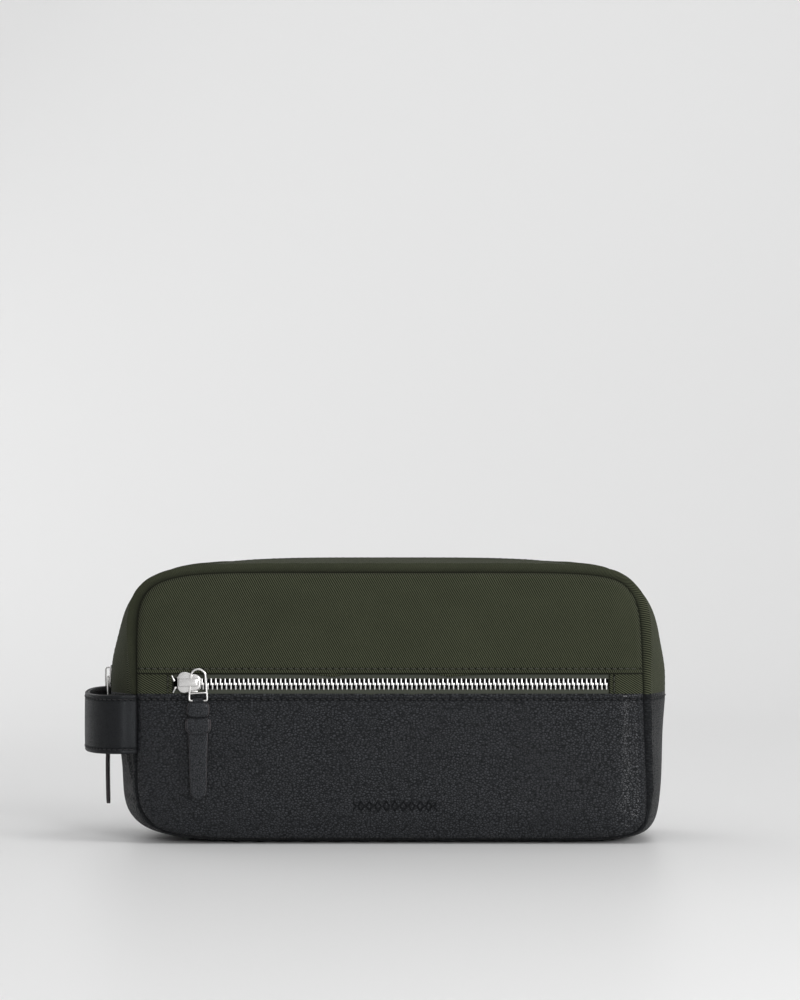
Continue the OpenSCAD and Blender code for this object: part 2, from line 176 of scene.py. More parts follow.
class Graph:
    """The node tree of one material, around one Principled shader."""

    def __init__(self, name: str) -> None:
        """Starts an empty material with its shader and output.

        Args:
            name: The material's name.
        """
        self.material = bpy.data.materials.new(name)
        self.material.use_nodes = True
        self.tree = self.material.node_tree
        self.tree.nodes.clear()
        self.shader = self.tree.nodes.new("ShaderNodeBsdfPrincipled")
        output = self.tree.nodes.new("ShaderNodeOutputMaterial")
        self.tree.links.new(self.shader.outputs[0], output.inputs[0])

    def fill(self, node: bpy.types.Node, inputs: dict[Any, Any]) -> None:
        """Sets or links a node's inputs.

        Args:
            node: The node.
            inputs: A value or Sock for each input's name or place.
        """
        for key, value in inputs.items():
            target = node.inputs[key]
            if isinstance(value, Sock):
                self.tree.links.new(value.socket, target)
            elif isinstance(value, tuple) and target.type == "RGBA":
                target.default_value = (*value[:3], 1.0)
            else:
                target.default_value = value

    def node(self, kind: str, settings: dict[str, Any], inputs: dict[Any, Any], out: Any = 0) -> Sock:
        """Adds one node.

        Args:
            kind: The node's type.
            settings: The node's own settings; "stops" holds a ramp's (place, colour) pairs.
            inputs: A value or Sock for each input's name or place.
            out: Name or place of the output wanted.

        Returns:
            The chosen output.
        """
        node = self.tree.nodes.new(kind)
        for key, value in settings.items():
            if key == "stops":
                ramp = node.color_ramp.elements
                while len(ramp) < len(value):
                    ramp.new(0.5)
                for element, (place, colour) in zip(ramp, value):
                    element.position = place
                    element.color = (*colour, 1.0)
            else:
                setattr(node, key, value)
        self.fill(node, inputs)
        return Sock(self, node.outputs[out])

    def cloth(self) -> Sock:
        """Place in the cloth, in millimetres: along, across, and distance from a sewn edge."""
        place = self.node("ShaderNodeAttribute", {"attribute_name": "cloth"}, {}, "Vector")
        return self.scaled(place, 1 / MM)

    def crease(self) -> Sock:
        """1 in the crease beside a panel seam and on zip tape beside the folded canvas edges, falling to 0 a
        little way from it; the finishes darken by it as painted shade.
        """
        return self.node("ShaderNodeAttribute", {"attribute_name": "seam"}, {}, "Fac")

    def place(self) -> Sock:
        """Place in the object's own frame, in millimetres."""
        return self.scaled(self.node("ShaderNodeTexCoord", {}, {}, "Object"), 1 / MM)

    def scaled(self, vector: Sock, factor: Any) -> Sock:
        """A vector times a number, or times a vector of three numbers.

        Args:
            vector: The vector.
            factor: A number, or one number for each part.

        Returns:
            The product.
        """
        if isinstance(factor, tuple):
            return self.node("ShaderNodeVectorMath", {"operation": "MULTIPLY"}, {0: vector, 1: factor})
        return self.node("ShaderNodeVectorMath", {"operation": "SCALE"}, {0: vector, "Scale": factor})

    def split(self, vector: Sock) -> tuple[Sock, Sock, Sock]:
        """The three parts of a vector.

        Args:
            vector: The vector.

        Returns:
            Its x, y and z.
        """
        first = self.node("ShaderNodeSeparateXYZ", {}, {0: vector})
        outputs = first.socket.node.outputs
        return first, Sock(self, outputs[1]), Sock(self, outputs[2])

    def noise(self, vector: Sock, size: float, detail: float = 2.0, roughness: float = 0.5) -> Sock:
        """Soft noise whose features are about size millimetres across."""
        inputs = {"Vector": vector, "Scale": 1 / size, "Detail": detail, "Roughness": roughness}
        return self.node("ShaderNodeTexNoise", {}, inputs, "Fac")

    def needle_row(self, along: Sock, edge: Sock, pitch: float, inset: float, size: float,
                   dent: float) -> tuple[Sock, Sock]:
        """Needle holes along a sewn edge, and the line that the stitches press into it.

        Args:
            along: Place along the edge.
            edge: Distance from the edge.
            pitch: From one hole to the next.
            inset: Distance of the row from the edge.
            size: Square of a hole's radius.
            dent: Half the width of the pressed line.

        Returns:
            1 in the holes, and 1 in the pressed line.
        """
        off = abs(edge - inset)
        hole = (1 - (abs(along.off_grid(pitch)) ** 2 + off ** 2) / size).held()
        return hole, 1 - off.fade(0.2, dent)

    def mix(self, factor: Any, a: Any, b: Any) -> Sock:
        """A colour between a and b."""
        return self.node("ShaderNodeMix", {"data_type": "RGBA"}, {0: factor, 6: a, 7: b}, 2)

    def bump(self, height: Sock, depth: float, strength: float = 1.0) -> Sock:
        """A normal from a height that runs from 0 to 1, depth millimetres deep."""
        inputs = {"Height": height, "Distance": depth * MM, "Strength": strength}
        return self.node("ShaderNodeBump", {}, inputs, "Normal")


# ---------- finishes ----------


@dataclass(frozen=True)
class Finish:
    """A finish: its name, the record's slot it belongs to and its plain shader values."""

    name: str
    slot: str

    def paint(self, graph: Graph) -> None:
        """Builds the nodes; each finish has its own."""
        raise NotImplementedError

    def material(self) -> bpy.types.Material:
        """The finish's material, made once.

        Returns:
            The material.
        """
        made = bpy.data.materials.get(self.name)
        if made is None:
            graph = Graph(self.name)
            self.paint(graph)
            made = graph.material
        return made


@dataclass(frozen=True)
class Canvas(Finish):
    """Steep cotton twill with needle holes along its sewn edges."""

    dark: Colour = (0.0022, 0.0027, 0.0012)
    light: Colour = (0.0800, 0.0880, 0.0535)
    twill_pitch: float = 1.0
    thread_pitch: float = 0.62
    stitch_pitch: float = 3.3
    stitch_from_edge: float = 2.4

    def paint(self, graph: Graph) -> None:
        """Twill lines, thread crossings, slubs, fading and needle holes, with painted shade in the holes,
        along the pressed stitch line, at the folded edge and in the seam's crease.

        Args:
            graph: The material's graph.
        """
        cloth = graph.cloth()
        u, v, edge = graph.split(cloth)
        wander = graph.noise(cloth, 9.0, 1.0) * 0.5
        line = (u * 0.866 + v * 0.5 + wander).wave(self.twill_pitch)
        cross = (u * 0.30 - v * 0.95 + wander).wave(self.thread_pitch)
        slub = graph.noise(graph.scaled(cloth, (1.6, 0.25, 1.0)), 0.7, 2.0)
        patch = graph.noise(cloth, 26.0, 3.0)
        hole, press = graph.needle_row(u, edge, self.stitch_pitch, self.stitch_from_edge, 0.36, 1.1)
        height = line * (cross * 0.35 + 0.65) + slub * 0.5
        tone = line * 1.0 + slub * 0.34 + patch * 0.2 - 0.40
        colour = graph.mix(tone.held(), self.dark, self.light)
        # Painted shade: darker in the needle holes, along the pressed stitch line, in a thin line at the
        # folded edge and in the seam's crease.
        lip = 1 - edge.fade(0.05, 0.6)
        painted_shade = (hole * 0.95 + press * 0.3 + lip * 0.85 + graph.crease()).held()
        colour = graph.mix(painted_shade, colour, (0.0026, 0.0030, 0.0018))
        graph.fill(graph.shader, {
            "Base Color": colour,
            "Roughness": 0.86 - line * 0.08 + slub * 0.06,
            "Specular IOR Level": 0.08,
            "Sheen Weight": 0.04, "Sheen Roughness": 0.6, "Sheen Tint": (0.75, 0.78, 0.60),
            "Normal": graph.bump(height - hole * 1.5 - press * 0.5, 0.22, 0.9),
        })


@dataclass(frozen=True)
class Leather(Finish):
    """Grained black leather: small round pebbles with fine creases between them."""

    dark: Colour = (0.0012, 0.0012, 0.0014)
    light: Colour = (0.0235, 0.0246, 0.0290)
    pebble: float = 1.45
    grain: float = 0.85
    roughness: float = 0.33
    coat: float = 0.70
    depth: float = 0.78
    stitch_pitch: float = 3.3
    stitch_from_edge: float = 2.6
    debossed: bool = False

    def lozenges(self, graph: Graph, cloth: Sock) -> Sock:
        """A row of plain pressed lozenge outlines low on the front.

        Args:
            graph: The material's graph.
            cloth: Place in the cloth.

        Returns:
            1 in the pressed lines and 0 elsewhere.
        """
        u, v, _ = graph.split(cloth)
        along = u - 1.6
        inside = (1 - abs(along).fade(21.2, 21.5))
        shape = abs(along.off_grid(4.3)) / 1.9 + abs(v - 19.5) / 2.8
        return (1 - abs(shape - 0.85).fade(0.22, 0.36)) * inside

    def paint(self, graph: Graph) -> None:
        """Pebbles, pores, creases, worn tone and needle holes, with painted shade in the holes, the pressed
        lines and the seam's crease.

        Args:
            graph: The material's graph.
        """
        cloth = graph.cloth()
        u, _, edge = graph.split(cloth)
        wander = {"Vector": cloth, "Scale": 0.35, "Detail": 2.0}
        flow = graph.node("ShaderNodeTexNoise", {}, wander, "Color")
        bent = graph.node("ShaderNodeVectorMath", {"operation": "ADD"}, {0: cloth, 1: flow})
        cell = {"Vector": bent, "Scale": 1 / self.pebble, "Randomness": 0.9}
        creases = graph.node("ShaderNodeTexVoronoi", {"feature": "DISTANCE_TO_EDGE"}, cell, "Distance")
        domes = graph.node("ShaderNodeTexVoronoi", {"feature": "SMOOTH_F1"}, cell, "Distance")
        fine = graph.noise(cloth, 0.22, 2.0)
        broad = graph.noise(cloth, 14.0, 3.0)
        pebbles = creases.fade(0.0, 0.22) * 0.6 + (1 - domes) * 0.4
        hole, press = graph.needle_row(u, edge, self.stitch_pitch, self.stitch_from_edge, 0.3, 1.2)
        height = pebbles * self.grain + fine * 0.22
        mark = self.lozenges(graph, cloth) if self.debossed else 0.0
        height = height - hole * 2.0 - press * 0.7 - mark * 4.0
        tone = pebbles * 1.05 + broad * 0.25 + fine * 0.35 - 0.52
        colour = graph.mix(tone.held(), self.dark, self.light)
        # Painted shade: darker in the needle holes, the pressed lozenge lines, the pressed stitch line and
        # the seam's crease; the same mask also roughens those places and takes their coat off.
        painted_shade = (hole + mark * 0.8 + press * 0.3 + graph.crease()).held()
        colour = graph.mix(painted_shade, colour, (0.0015, 0.0015, 0.0018))
        graph.fill(graph.shader, {
            "Base Color": colour,
            "Roughness": (self.roughness + (1 - pebbles) * 0.30 + broad * 0.10 - 0.05 + painted_shade * 0.4).held(),
            "Specular IOR Level": 0.24, "Specular Tint": (0.88, 0.94, 1.0),
            "Coat Weight": (pebbles * pebbles * self.coat - painted_shade).held(),
            "Coat Roughness": 0.20, "Coat IOR": 1.45,
            "Normal": graph.bump(height, self.depth, 1.0),
        })


@dataclass(frozen=True)
class Nickel(Finish):
    """Bright plated metal with hairline rubs and slightly dull hollows."""

    colour: Colour = (0.80, 0.79, 0.78)
    roughness: float = 0.20

    def paint(self, graph: Graph) -> None:
        """Cloudy plating, fine rubs and a faint waviness.

        Args:
            graph: The material's graph.
        """
        place = graph.place()
        cloud = graph.noise(place, 1.6, 3.0)
        rubs = graph.noise(graph.scaled(place, (0.4, 3.0, 3.0)), 0.25, 2.0)
        graph.fill(graph.shader, {
            "Base Color": graph.mix((cloud * 0.7 + rubs * 0.3).held(), tuple(c * 0.82 for c in self.colour),
                                    self.colour),
            "Metallic": 1.0,
            "Roughness": self.roughness + cloud * 0.10 + rubs * 0.10 - 0.05,
            "Normal": graph.bump(cloud * 0.5 + rubs * 0.2, 0.03, 0.5),
        })


@dataclass(frozen=True)
class Woven(Finish):
    """A plain or ribbed weave: zip tape, lining and bindings."""

    dark: Colour = (0.012, 0.014, 0.009)
    light: Colour = (0.040, 0.044, 0.028)
    rib: float = 0.8
    pick: float = 0.45

    def paint(self, graph: Graph) -> None:
        """Ribs along the tape with picks across them, stray fibres, and painted shade where the tape runs
        under the folded canvas edges.

        Args:
            graph: The material's graph.
        """
        cloth = graph.cloth()
        u, v, _ = graph.split(cloth)
        rib = v.wave(self.rib)
        pick = (u + rib * self.pick * 0.5).wave(self.pick)
        fibre = graph.noise(cloth, 0.35, 3.0)
        height = rib * 0.5 + pick * 0.4 + fibre * 0.3
        colour = graph.mix((height * 0.8).held(), self.dark, self.light)
        graph.fill(graph.shader, {
            # Painted shade: the crease attribute darkens the tape where it runs under the folded canvas
            # edges.
            "Base Color": graph.mix(graph.crease() * 0.9, colour, (0.002, 0.002, 0.0015)),
            "Roughness": 0.82 + fibre * 0.12,
            "Specular IOR Level": 0.25,
            "Normal": graph.bump(height, 0.12, 0.8),
        })


@dataclass(frozen=True)
class Thread(Finish):
    """Twisted sewing thread."""

    colour: Colour = (0.030, 0.032, 0.021)

    def paint(self, graph: Graph) -> None:
        """The lay of the thread's plies and a little fuzz.

        Args:
            graph: The material's graph.
        """
        place = graph.place()
        x, y, z = graph.split(place)
        lay = (x + z + y * 0.6).wave(0.34)
        fuzz = graph.noise(place, 0.2, 2.0)
        graph.fill(graph.shader, {
            "Base Color": graph.mix((lay * 0.6 + fuzz * 0.4).held(), tuple(c * 0.55 for c in self.colour),
                                    tuple(c * 1.35 for c in self.colour)),
            "Roughness": 0.62 + fuzz * 0.2,
            "Normal": graph.bump(lay * 0.6 + fuzz * 0.4, 0.08, 0.8),
        })


@dataclass(frozen=True)
class RawEdge(Finish):
    """Cut and painted leather edge, brown where the dye is thin, and kept light as a painted highlight along
    the pull's sides.
    """

    def paint(self, graph: Graph) -> None:
        """Fibres in layers with a worn brown tone, lightened as a painted edge highlight.

        Args:
            graph: The material's graph.
        """
        place = graph.place()
        fibres = graph.noise(graph.scaled(place, (1.0, 3.0, 1.0)), 0.5, 4.0, 0.65)
        wear = graph.noise(place, 4.0, 2.0)
        graph.fill(graph.shader, {
            # The light end of this mix is a painted highlight along the pull's cut sides, over the edge's
            # own worn brown.
            "Base Color": graph.mix((wear * 0.8 + fibres * 0.3).held(), (0.022, 0.018, 0.020),
                                    (0.070, 0.060, 0.064)),
            "Roughness": 0.62 + fibres * 0.2,
            "Normal": graph.bump(fibres, 0.1, 0.7),
        })


@dataclass(frozen=True)
class Board(Finish):
    """Pressed fibre board in the bottom of the bag."""

    def paint(self, graph: Graph) -> None:
        """Flecks of fibre over a dull ground.

        Args:
            graph: The material's graph.
        """
        place = graph.place()
        fleck = graph.noise(graph.scaled(place, (0.5, 1.6, 1.0)), 1.1, 5.0, 0.7)
        cloud = graph.noise(place, 20.0, 2.0)
        graph.fill(graph.shader, {
            "Base Color": graph.mix((fleck * 0.7 + cloud * 0.3).held(), (0.10, 0.075, 0.05),
                                    (0.30, 0.25, 0.18)),
            "Roughness": 0.75 + fleck * 0.2,
            "Normal": graph.bump(fleck, 0.15, 0.6),
        })


@dataclass(frozen=True)
class Studio(Finish):
    """Pale matt paper of the floor and backdrop."""

    colour: Colour = (0.80, 0.80, 0.80)

    def paint(self, graph: Graph) -> None:
        """A very faint cloudiness.

        Args:
            graph: The material's graph.
        """
        cloud = graph.noise(graph.place(), 300.0, 2.0)
        graph.fill(graph.shader, {
            "Base Color": graph.mix(cloud, tuple(c * 0.99 for c in self.colour), self.colour),
            "Roughness": 0.42, "Specular IOR Level": 0.25,
        })


CANVAS = Canvas("canvas_twill", "canvas")
LEATHER = Leather("grained_leather", "leather")
# The ends and base use a darker, duller copy of the black leather; its darker colour is painted shade on
# faces turned away from the lights.
END_LEATHER = Leather("end_leather", "leather", coat=0.12, roughness=0.46, light=(0.0095, 0.0099, 0.0112))
MARKED_LEATHER = Leather("grained_leather_marked", "leather", debossed=True)
STRAP_LEATHER = Leather("strap_leather", "leather", pebble=0.8, grain=0.4, roughness=0.42, coat=0.1,
                        depth=0.12, dark=(0.003, 0.0031, 0.0035), light=(0.0100, 0.0102, 0.0112))
# The pull's black leather is lighter than the body's; the extra lightness is a painted highlight on its
# lobes.
PULL_LEATHER = Leather("pull_leather", "leather", dark=(0.003, 0.003, 0.0034), light=(0.032, 0.033, 0.037),
                       pebble=1.0, grain=0.7, roughness=0.40, coat=0.3, depth=0.25)
NICKEL = Nickel("bright_nickel", "metal")
TOOTH_NICKEL = Nickel("tooth_nickel", "metal", roughness=0.26)
TAPE = Woven("zip_tape", "zip_tape")
LINING = Woven("lining_weave", "lining", dark=(0.006, 0.006, 0.007), light=(0.022, 0.022, 0.024), rib=0.4,
               pick=0.4)
CANVAS_THREAD = Thread("canvas_thread", "canvas", colour=(0.036, 0.038, 0.026))
LEATHER_THREAD = Thread("leather_thread", "leather", colour=(0.012, 0.012, 0.013))
RAW_EDGE = RawEdge("raw_edge", "leather")
BOARD = Board("fibre_board", "board")
STUDIO = Studio("studio_paper", "")


# ---------- meshes ----------


@dataclass
class Form:
    """Points, faces and cloth places of a mesh while it is being built, in millimetres."""

    points: np.ndarray
    faces: list
    cloth: np.ndarray | None = None
    tones: list = field(default_factory=list)
    seam: np.ndarray | None = None

    def moved(self, frame: np.ndarray, origin: Sequence[float]) -> "Form":
        """The form turned by the rows of frame (its own x, y and z axes) and moved to origin."""
        return Form(self.points @ np.asarray(frame, float) + np.asarray(origin, float), self.faces,
                    self.cloth if self.cloth is not None else self.points.copy(), self.tones)


def joined(forms: Sequence[Form]) -> Form:
    """One form from several.

    Args:
        forms: The forms.

    Returns:
        The whole.
    """
    points, faces, cloth, tones, start = [], [], [], [], 0
    for form in forms:
        points.append(form.points)
        cloth.append(form.cloth if form.cloth is not None else form.points)
        faces += [tuple(int(i) + start for i in face) for face in form.faces]
        tones += list(form.tones) or [0] * len(form.faces)
        start += len(form.points)
    return Form(np.vstack(points), faces, np.vstack(cloth), tones)


def grid_faces(rows: int, columns: int, closed: bool = False, start: int = 0) -> list:
    """Quads of a grid of points laid out row by row.

    Args:
        rows: Number of rows.
        columns: Number of points in a row.
        closed: Whether each row runs round to its first point.
        start: Number of the grid's first point.

    Returns:
        The quads.
    """
    last = columns if closed else columns - 1
    return [(start + r * columns + c, start + r * columns + (c + 1) % columns,
             start + (r + 1) * columns + (c + 1) % columns, start + (r + 1) * columns + c)
            for r in range(rows - 1) for c in range(last)]


def unit(vectors: np.ndarray) -> np.ndarray:
    """Vectors of length one."""
    return vectors / np.maximum(np.linalg.norm(vectors, axis=-1, keepdims=True), 1e-9)


def grid_normals(grid: np.ndarray) -> np.ndarray:
    """Normals of a grid of points, shape (rows, columns, 3)."""
    return unit(np.cross(np.gradient(grid, axis=1), np.gradient(grid, axis=0)))


def stations(length: float, fine: float = 0.35, coarse: float = 2.4, grow: float = 1.28) -> np.ndarray:
    """Places from 0 to length: close together at both ends and wider apart between them.

    Args:
        length: Length to cover.
        fine: Step at the two ends.
        coarse: Widest step.
        grow: How much wider each step is than the last.

    Returns:
        The places.
    """
    steps, step, total = [], fine, 0.0
    while total + step < length / 2 and step < coarse:
        steps.append(step)
        total += step
        step *= grow
    middle = max(1, round((length - 2 * total) / coarse))
    steps = steps + [(length - 2 * total) / middle] * middle + steps[::-1]
    return np.concatenate([[0.0], np.cumsum(steps)])


def run_along(path: np.ndarray) -> np.ndarray:
    """Length run along a path, shape (..., n, 3), up to each of its points."""
    step = np.linalg.norm(np.diff(path, axis=-2), axis=-1)
    return np.concatenate([np.zeros(step.shape[:-1] + (1,)), np.cumsum(step, axis=-1)], axis=-1)


def facing(grid: np.ndarray, way: float = 1.0) -> np.ndarray:
    """Directions along y, or against it where way is -1, one for each point of a grid.

    Args:
        grid: The points.
        way: 1 along y, -1 against it.

    Returns:
        The directions.
    """
    out = np.zeros_like(grid)
    out[..., 1] = way
    return out


def squared(angles: np.ndarray, power: float) -> tuple[np.ndarray, np.ndarray]:
    """Across and up of a squared-off circle: power 1 is round and near 0 is square."""
    c, s = np.cos(angles), np.sin(angles)
    return np.sign(c) * np.abs(c) ** power, np.sign(s) * np.abs(s) ** power


def edge_loop(rows: int, columns: int) -> list:
    """Numbers of the points round the border of a grid, in order.

    Args:
        rows: Number of rows.
        columns: Number of points in a row.

    Returns:
        The points' numbers.
    """
    return (list(range(columns)) + [r * columns + columns - 1 for r in range(1, rows)]
            + [(rows - 1) * columns + c for c in range(columns - 2, -1, -1)]
            + [r * columns for r in range(rows - 2, 0, -1)])


def thick_sheet(grid: np.ndarray, thickness: float, cloth: np.ndarray, inward: np.ndarray,
                crease: np.ndarray | None = None) -> Form:
    """A sheet of cloth or leather with rounded borders.

    Args:
        grid: The outer face, shape (rows, columns, 3).
        thickness: Thickness of the sheet.
        cloth: Cloth places, the same shape as grid.
        inward: Directions from the outer face to the inner one.
        crease: How far each point lies in a seam's crease, 0 to 1, if the sheet has one; the finishes darken
            by it as painted shade.

    Returns:
        The closed sheet.
    """
    rows, columns, _ = grid.shape
    count = rows * columns
    flat, into, marks = (a.reshape(count, 3) for a in (grid, inward, cloth))
    loop = edge_loop(rows, columns)
    rim = flat[loop]
    ahead = np.roll(rim, -1, axis=0) - np.roll(rim, 1, axis=0)
    outwards = unit(np.cross(into[loop], ahead))
    centre = flat.mean(axis=0)
    if np.sum(outwards * (rim - centre)) < 0:
        outwards = -outwards
    radius, bends = thickness / 2, 4
    points, marks_out = [flat], [marks]
    faces = grid_faces(rows, columns)
    rings = [loop]
    for k in range(1, bends):
        angle = math.pi * k / bends
        out, down = radius * math.sin(angle), radius * (1 - math.cos(angle))
        points.append(rim + outwards * out + into[loop] * down)
        marks_out.append(marks[loop])
        rings.append([count + (k - 1) * len(loop) + i for i in range(len(loop))])
    inner_start = count + (bends - 1) * len(loop)
    points.append(flat + into * thickness)
    marks_out.append(marks)
    rings.append([inner_start + i for i in loop])
    faces += [tuple(reversed(face)) for face in grid_faces(rows, columns, start=inner_start)]
    for a, b in zip(rings, rings[1:]):
        faces += [(a[i], b[i], b[(i + 1) % len(loop)], a[(i + 1) % len(loop)]) for i in range(len(loop))]
    form = Form(np.vstack(points), faces, np.vstack(marks_out))
    if crease is not None:
        depth = crease.reshape(count)
        form.seam = np.concatenate([depth] + [depth[loop]] * (bends - 1) + [depth])
    return form


def lofted(rings: np.ndarray, cloth: np.ndarray | None = None, capped: bool = True,
           ring: bool = False) -> Form:
    """A skin over rings of points, shape (rings, points, 3).

    Args:
        rings: The rings, all with the same number of points.
        cloth: Cloth places, the same shape.
        capped: Whether the first and last rings are closed by a face.
        ring: Whether the last ring joins the first.

    Returns:
        The skin.
    """
    count, points, _ = rings.shape
    faces = grid_faces(count, points, closed=True)
    if ring:
        last = (count - 1) * points
        faces += [(last + c, last + (c + 1) % points, (c + 1) % points, c) for c in range(points)]
    elif capped:
        faces += [tuple(range(points))[::-1], tuple((count - 1) * points + c for c in range(points))]
    marks = rings if cloth is None else cloth
    return Form(rings.reshape(-1, 3), faces, marks.reshape(-1, 3))


def tube(path: np.ndarray, radius: float, sides: int = 14, ring: bool = False) -> Form:
    """A round wire or thread along a path.

    Args:
        path: Points, shape (n, 3).
        radius: Radius, or one radius for each point.
        sides: Points round the wire.
        ring: Whether the path is closed.

    Returns:
        The wire.
    """
    if ring:
        along = unit(np.roll(path, -1, axis=0) - np.roll(path, 1, axis=0))
    else:
        along = unit(np.gradient(path, axis=0))
    up = np.array([0.0, 1.0, 0.0])
    if abs(along[:, 1]).max() > 0.9:
        up = np.array([0.3, 0.1, 1.0])
    side = unit(np.cross(along, up))
    other = np.cross(side, along)
    angles = TAU * np.arange(sides) / sides
    radii = np.broadcast_to(np.asarray(radius, float), (len(path),))[:, None, None]
    rings = path[:, None, :] + radii * (np.cos(angles)[None, :, None] * side[:, None, :]
                                        + np.sin(angles)[None, :, None] * other[:, None, :])
    return lofted(rings, ring=ring)


def bevelled(outline: Sequence[tuple[float, float]], low: float, high: float, bevel: float,
             segments: int = 3) -> Form:
    """A plate of the given outline (x, z) between two depths y, with rounded edges.

    Args:
        outline: Corner points in order.
        low: Lowest y.
        high: Highest y.
        bevel: Radius of the rounded edges.
        segments: Faces across each rounded edge.

    Returns:
        The plate.
    """
    work = bmesh.new()
    face = work.faces.new([work.verts.new((x, low, z)) for x, z in outline])
    grown = bmesh.ops.extrude_face_region(work, geom=[face])
    moved = [g for g in grown["geom"] if isinstance(g, bmesh.types.BMVert)]
    bmesh.ops.translate(work, verts=moved, vec=(0, high - low, 0))
    bmesh.ops.recalc_face_normals(work, faces=work.faces)
    sharp = [e for e in work.edges if e.calc_face_angle(0.0) > 0.6]
    bmesh.ops.bevel(work, geom=sharp, offset=bevel, segments=segments, profile=0.5, affect="EDGES",
                    clamp_overlap=True)
    work.verts.index_update()
    points = np.array([v.co[:] for v in work.verts])
    form = Form(points, [tuple(v.index for v in f.verts) for f in work.faces])
    work.free()
    return form


def make_piece(name: str, form: Form, finishes: Sequence[Finish], body: Body,
               stands_for: Sequence[str] = ()) -> None:
    """Makes one piece, dresses it and fixes it to its body.

    Args:
        name: The piece's name.
        form: Its mesh, in millimetres.
        finishes: Its finishes; a face's tone is its place in this list.
        body: The body it rides on.
        stands_for: CAD nodes it is shown in place of.
    """
    mesh = bpy.data.meshes.new(name)
    mesh.from_pydata((form.points * MM).tolist(), [], form.faces)
    work = bmesh.new()
    work.from_mesh(mesh)
    bmesh.ops.recalc_face_normals(work, faces=work.faces)
    work.to_mesh(mesh)
    work.free()
    cloth = form.points if form.cloth is None else form.cloth
    layer = mesh.attributes.new("cloth", "FLOAT_VECTOR", "POINT")
    layer.data.foreach_set("vector", (cloth * MM).astype(np.float32).ravel())
    # The seam attribute carries the painted shade of a seam's crease.
    if form.seam is not None:
        layer = mesh.attributes.new("seam", "FLOAT", "POINT")
        layer.data.foreach_set("value", form.seam.astype(np.float32).ravel())
    for finish in finishes:
        mesh.materials.append(finish.material())
    if form.tones:
        mesh.polygons.foreach_set("material_index", form.tones)
    mesh.polygons.foreach_set("use_smooth", [True] * len(mesh.polygons))
    piece = bpy.data.objects.new(name, mesh)
    bpy.context.scene.collection.objects.link(piece)
    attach(piece, body.value)
    if stands_for:
        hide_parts(*stands_for)
    log.info("%s: %d points on %s", name, len(mesh.vertices), body.value)


# ---------- the bag's form ----------


def step_up(t: np.ndarray, start: float, end: float) -> np.ndarray:
    """Runs smoothly from 0 at start to 1 at end."""
    s = np.clip((t - start) / (end - start), 0, 1)
    return s * s * (3 - 2 * s)


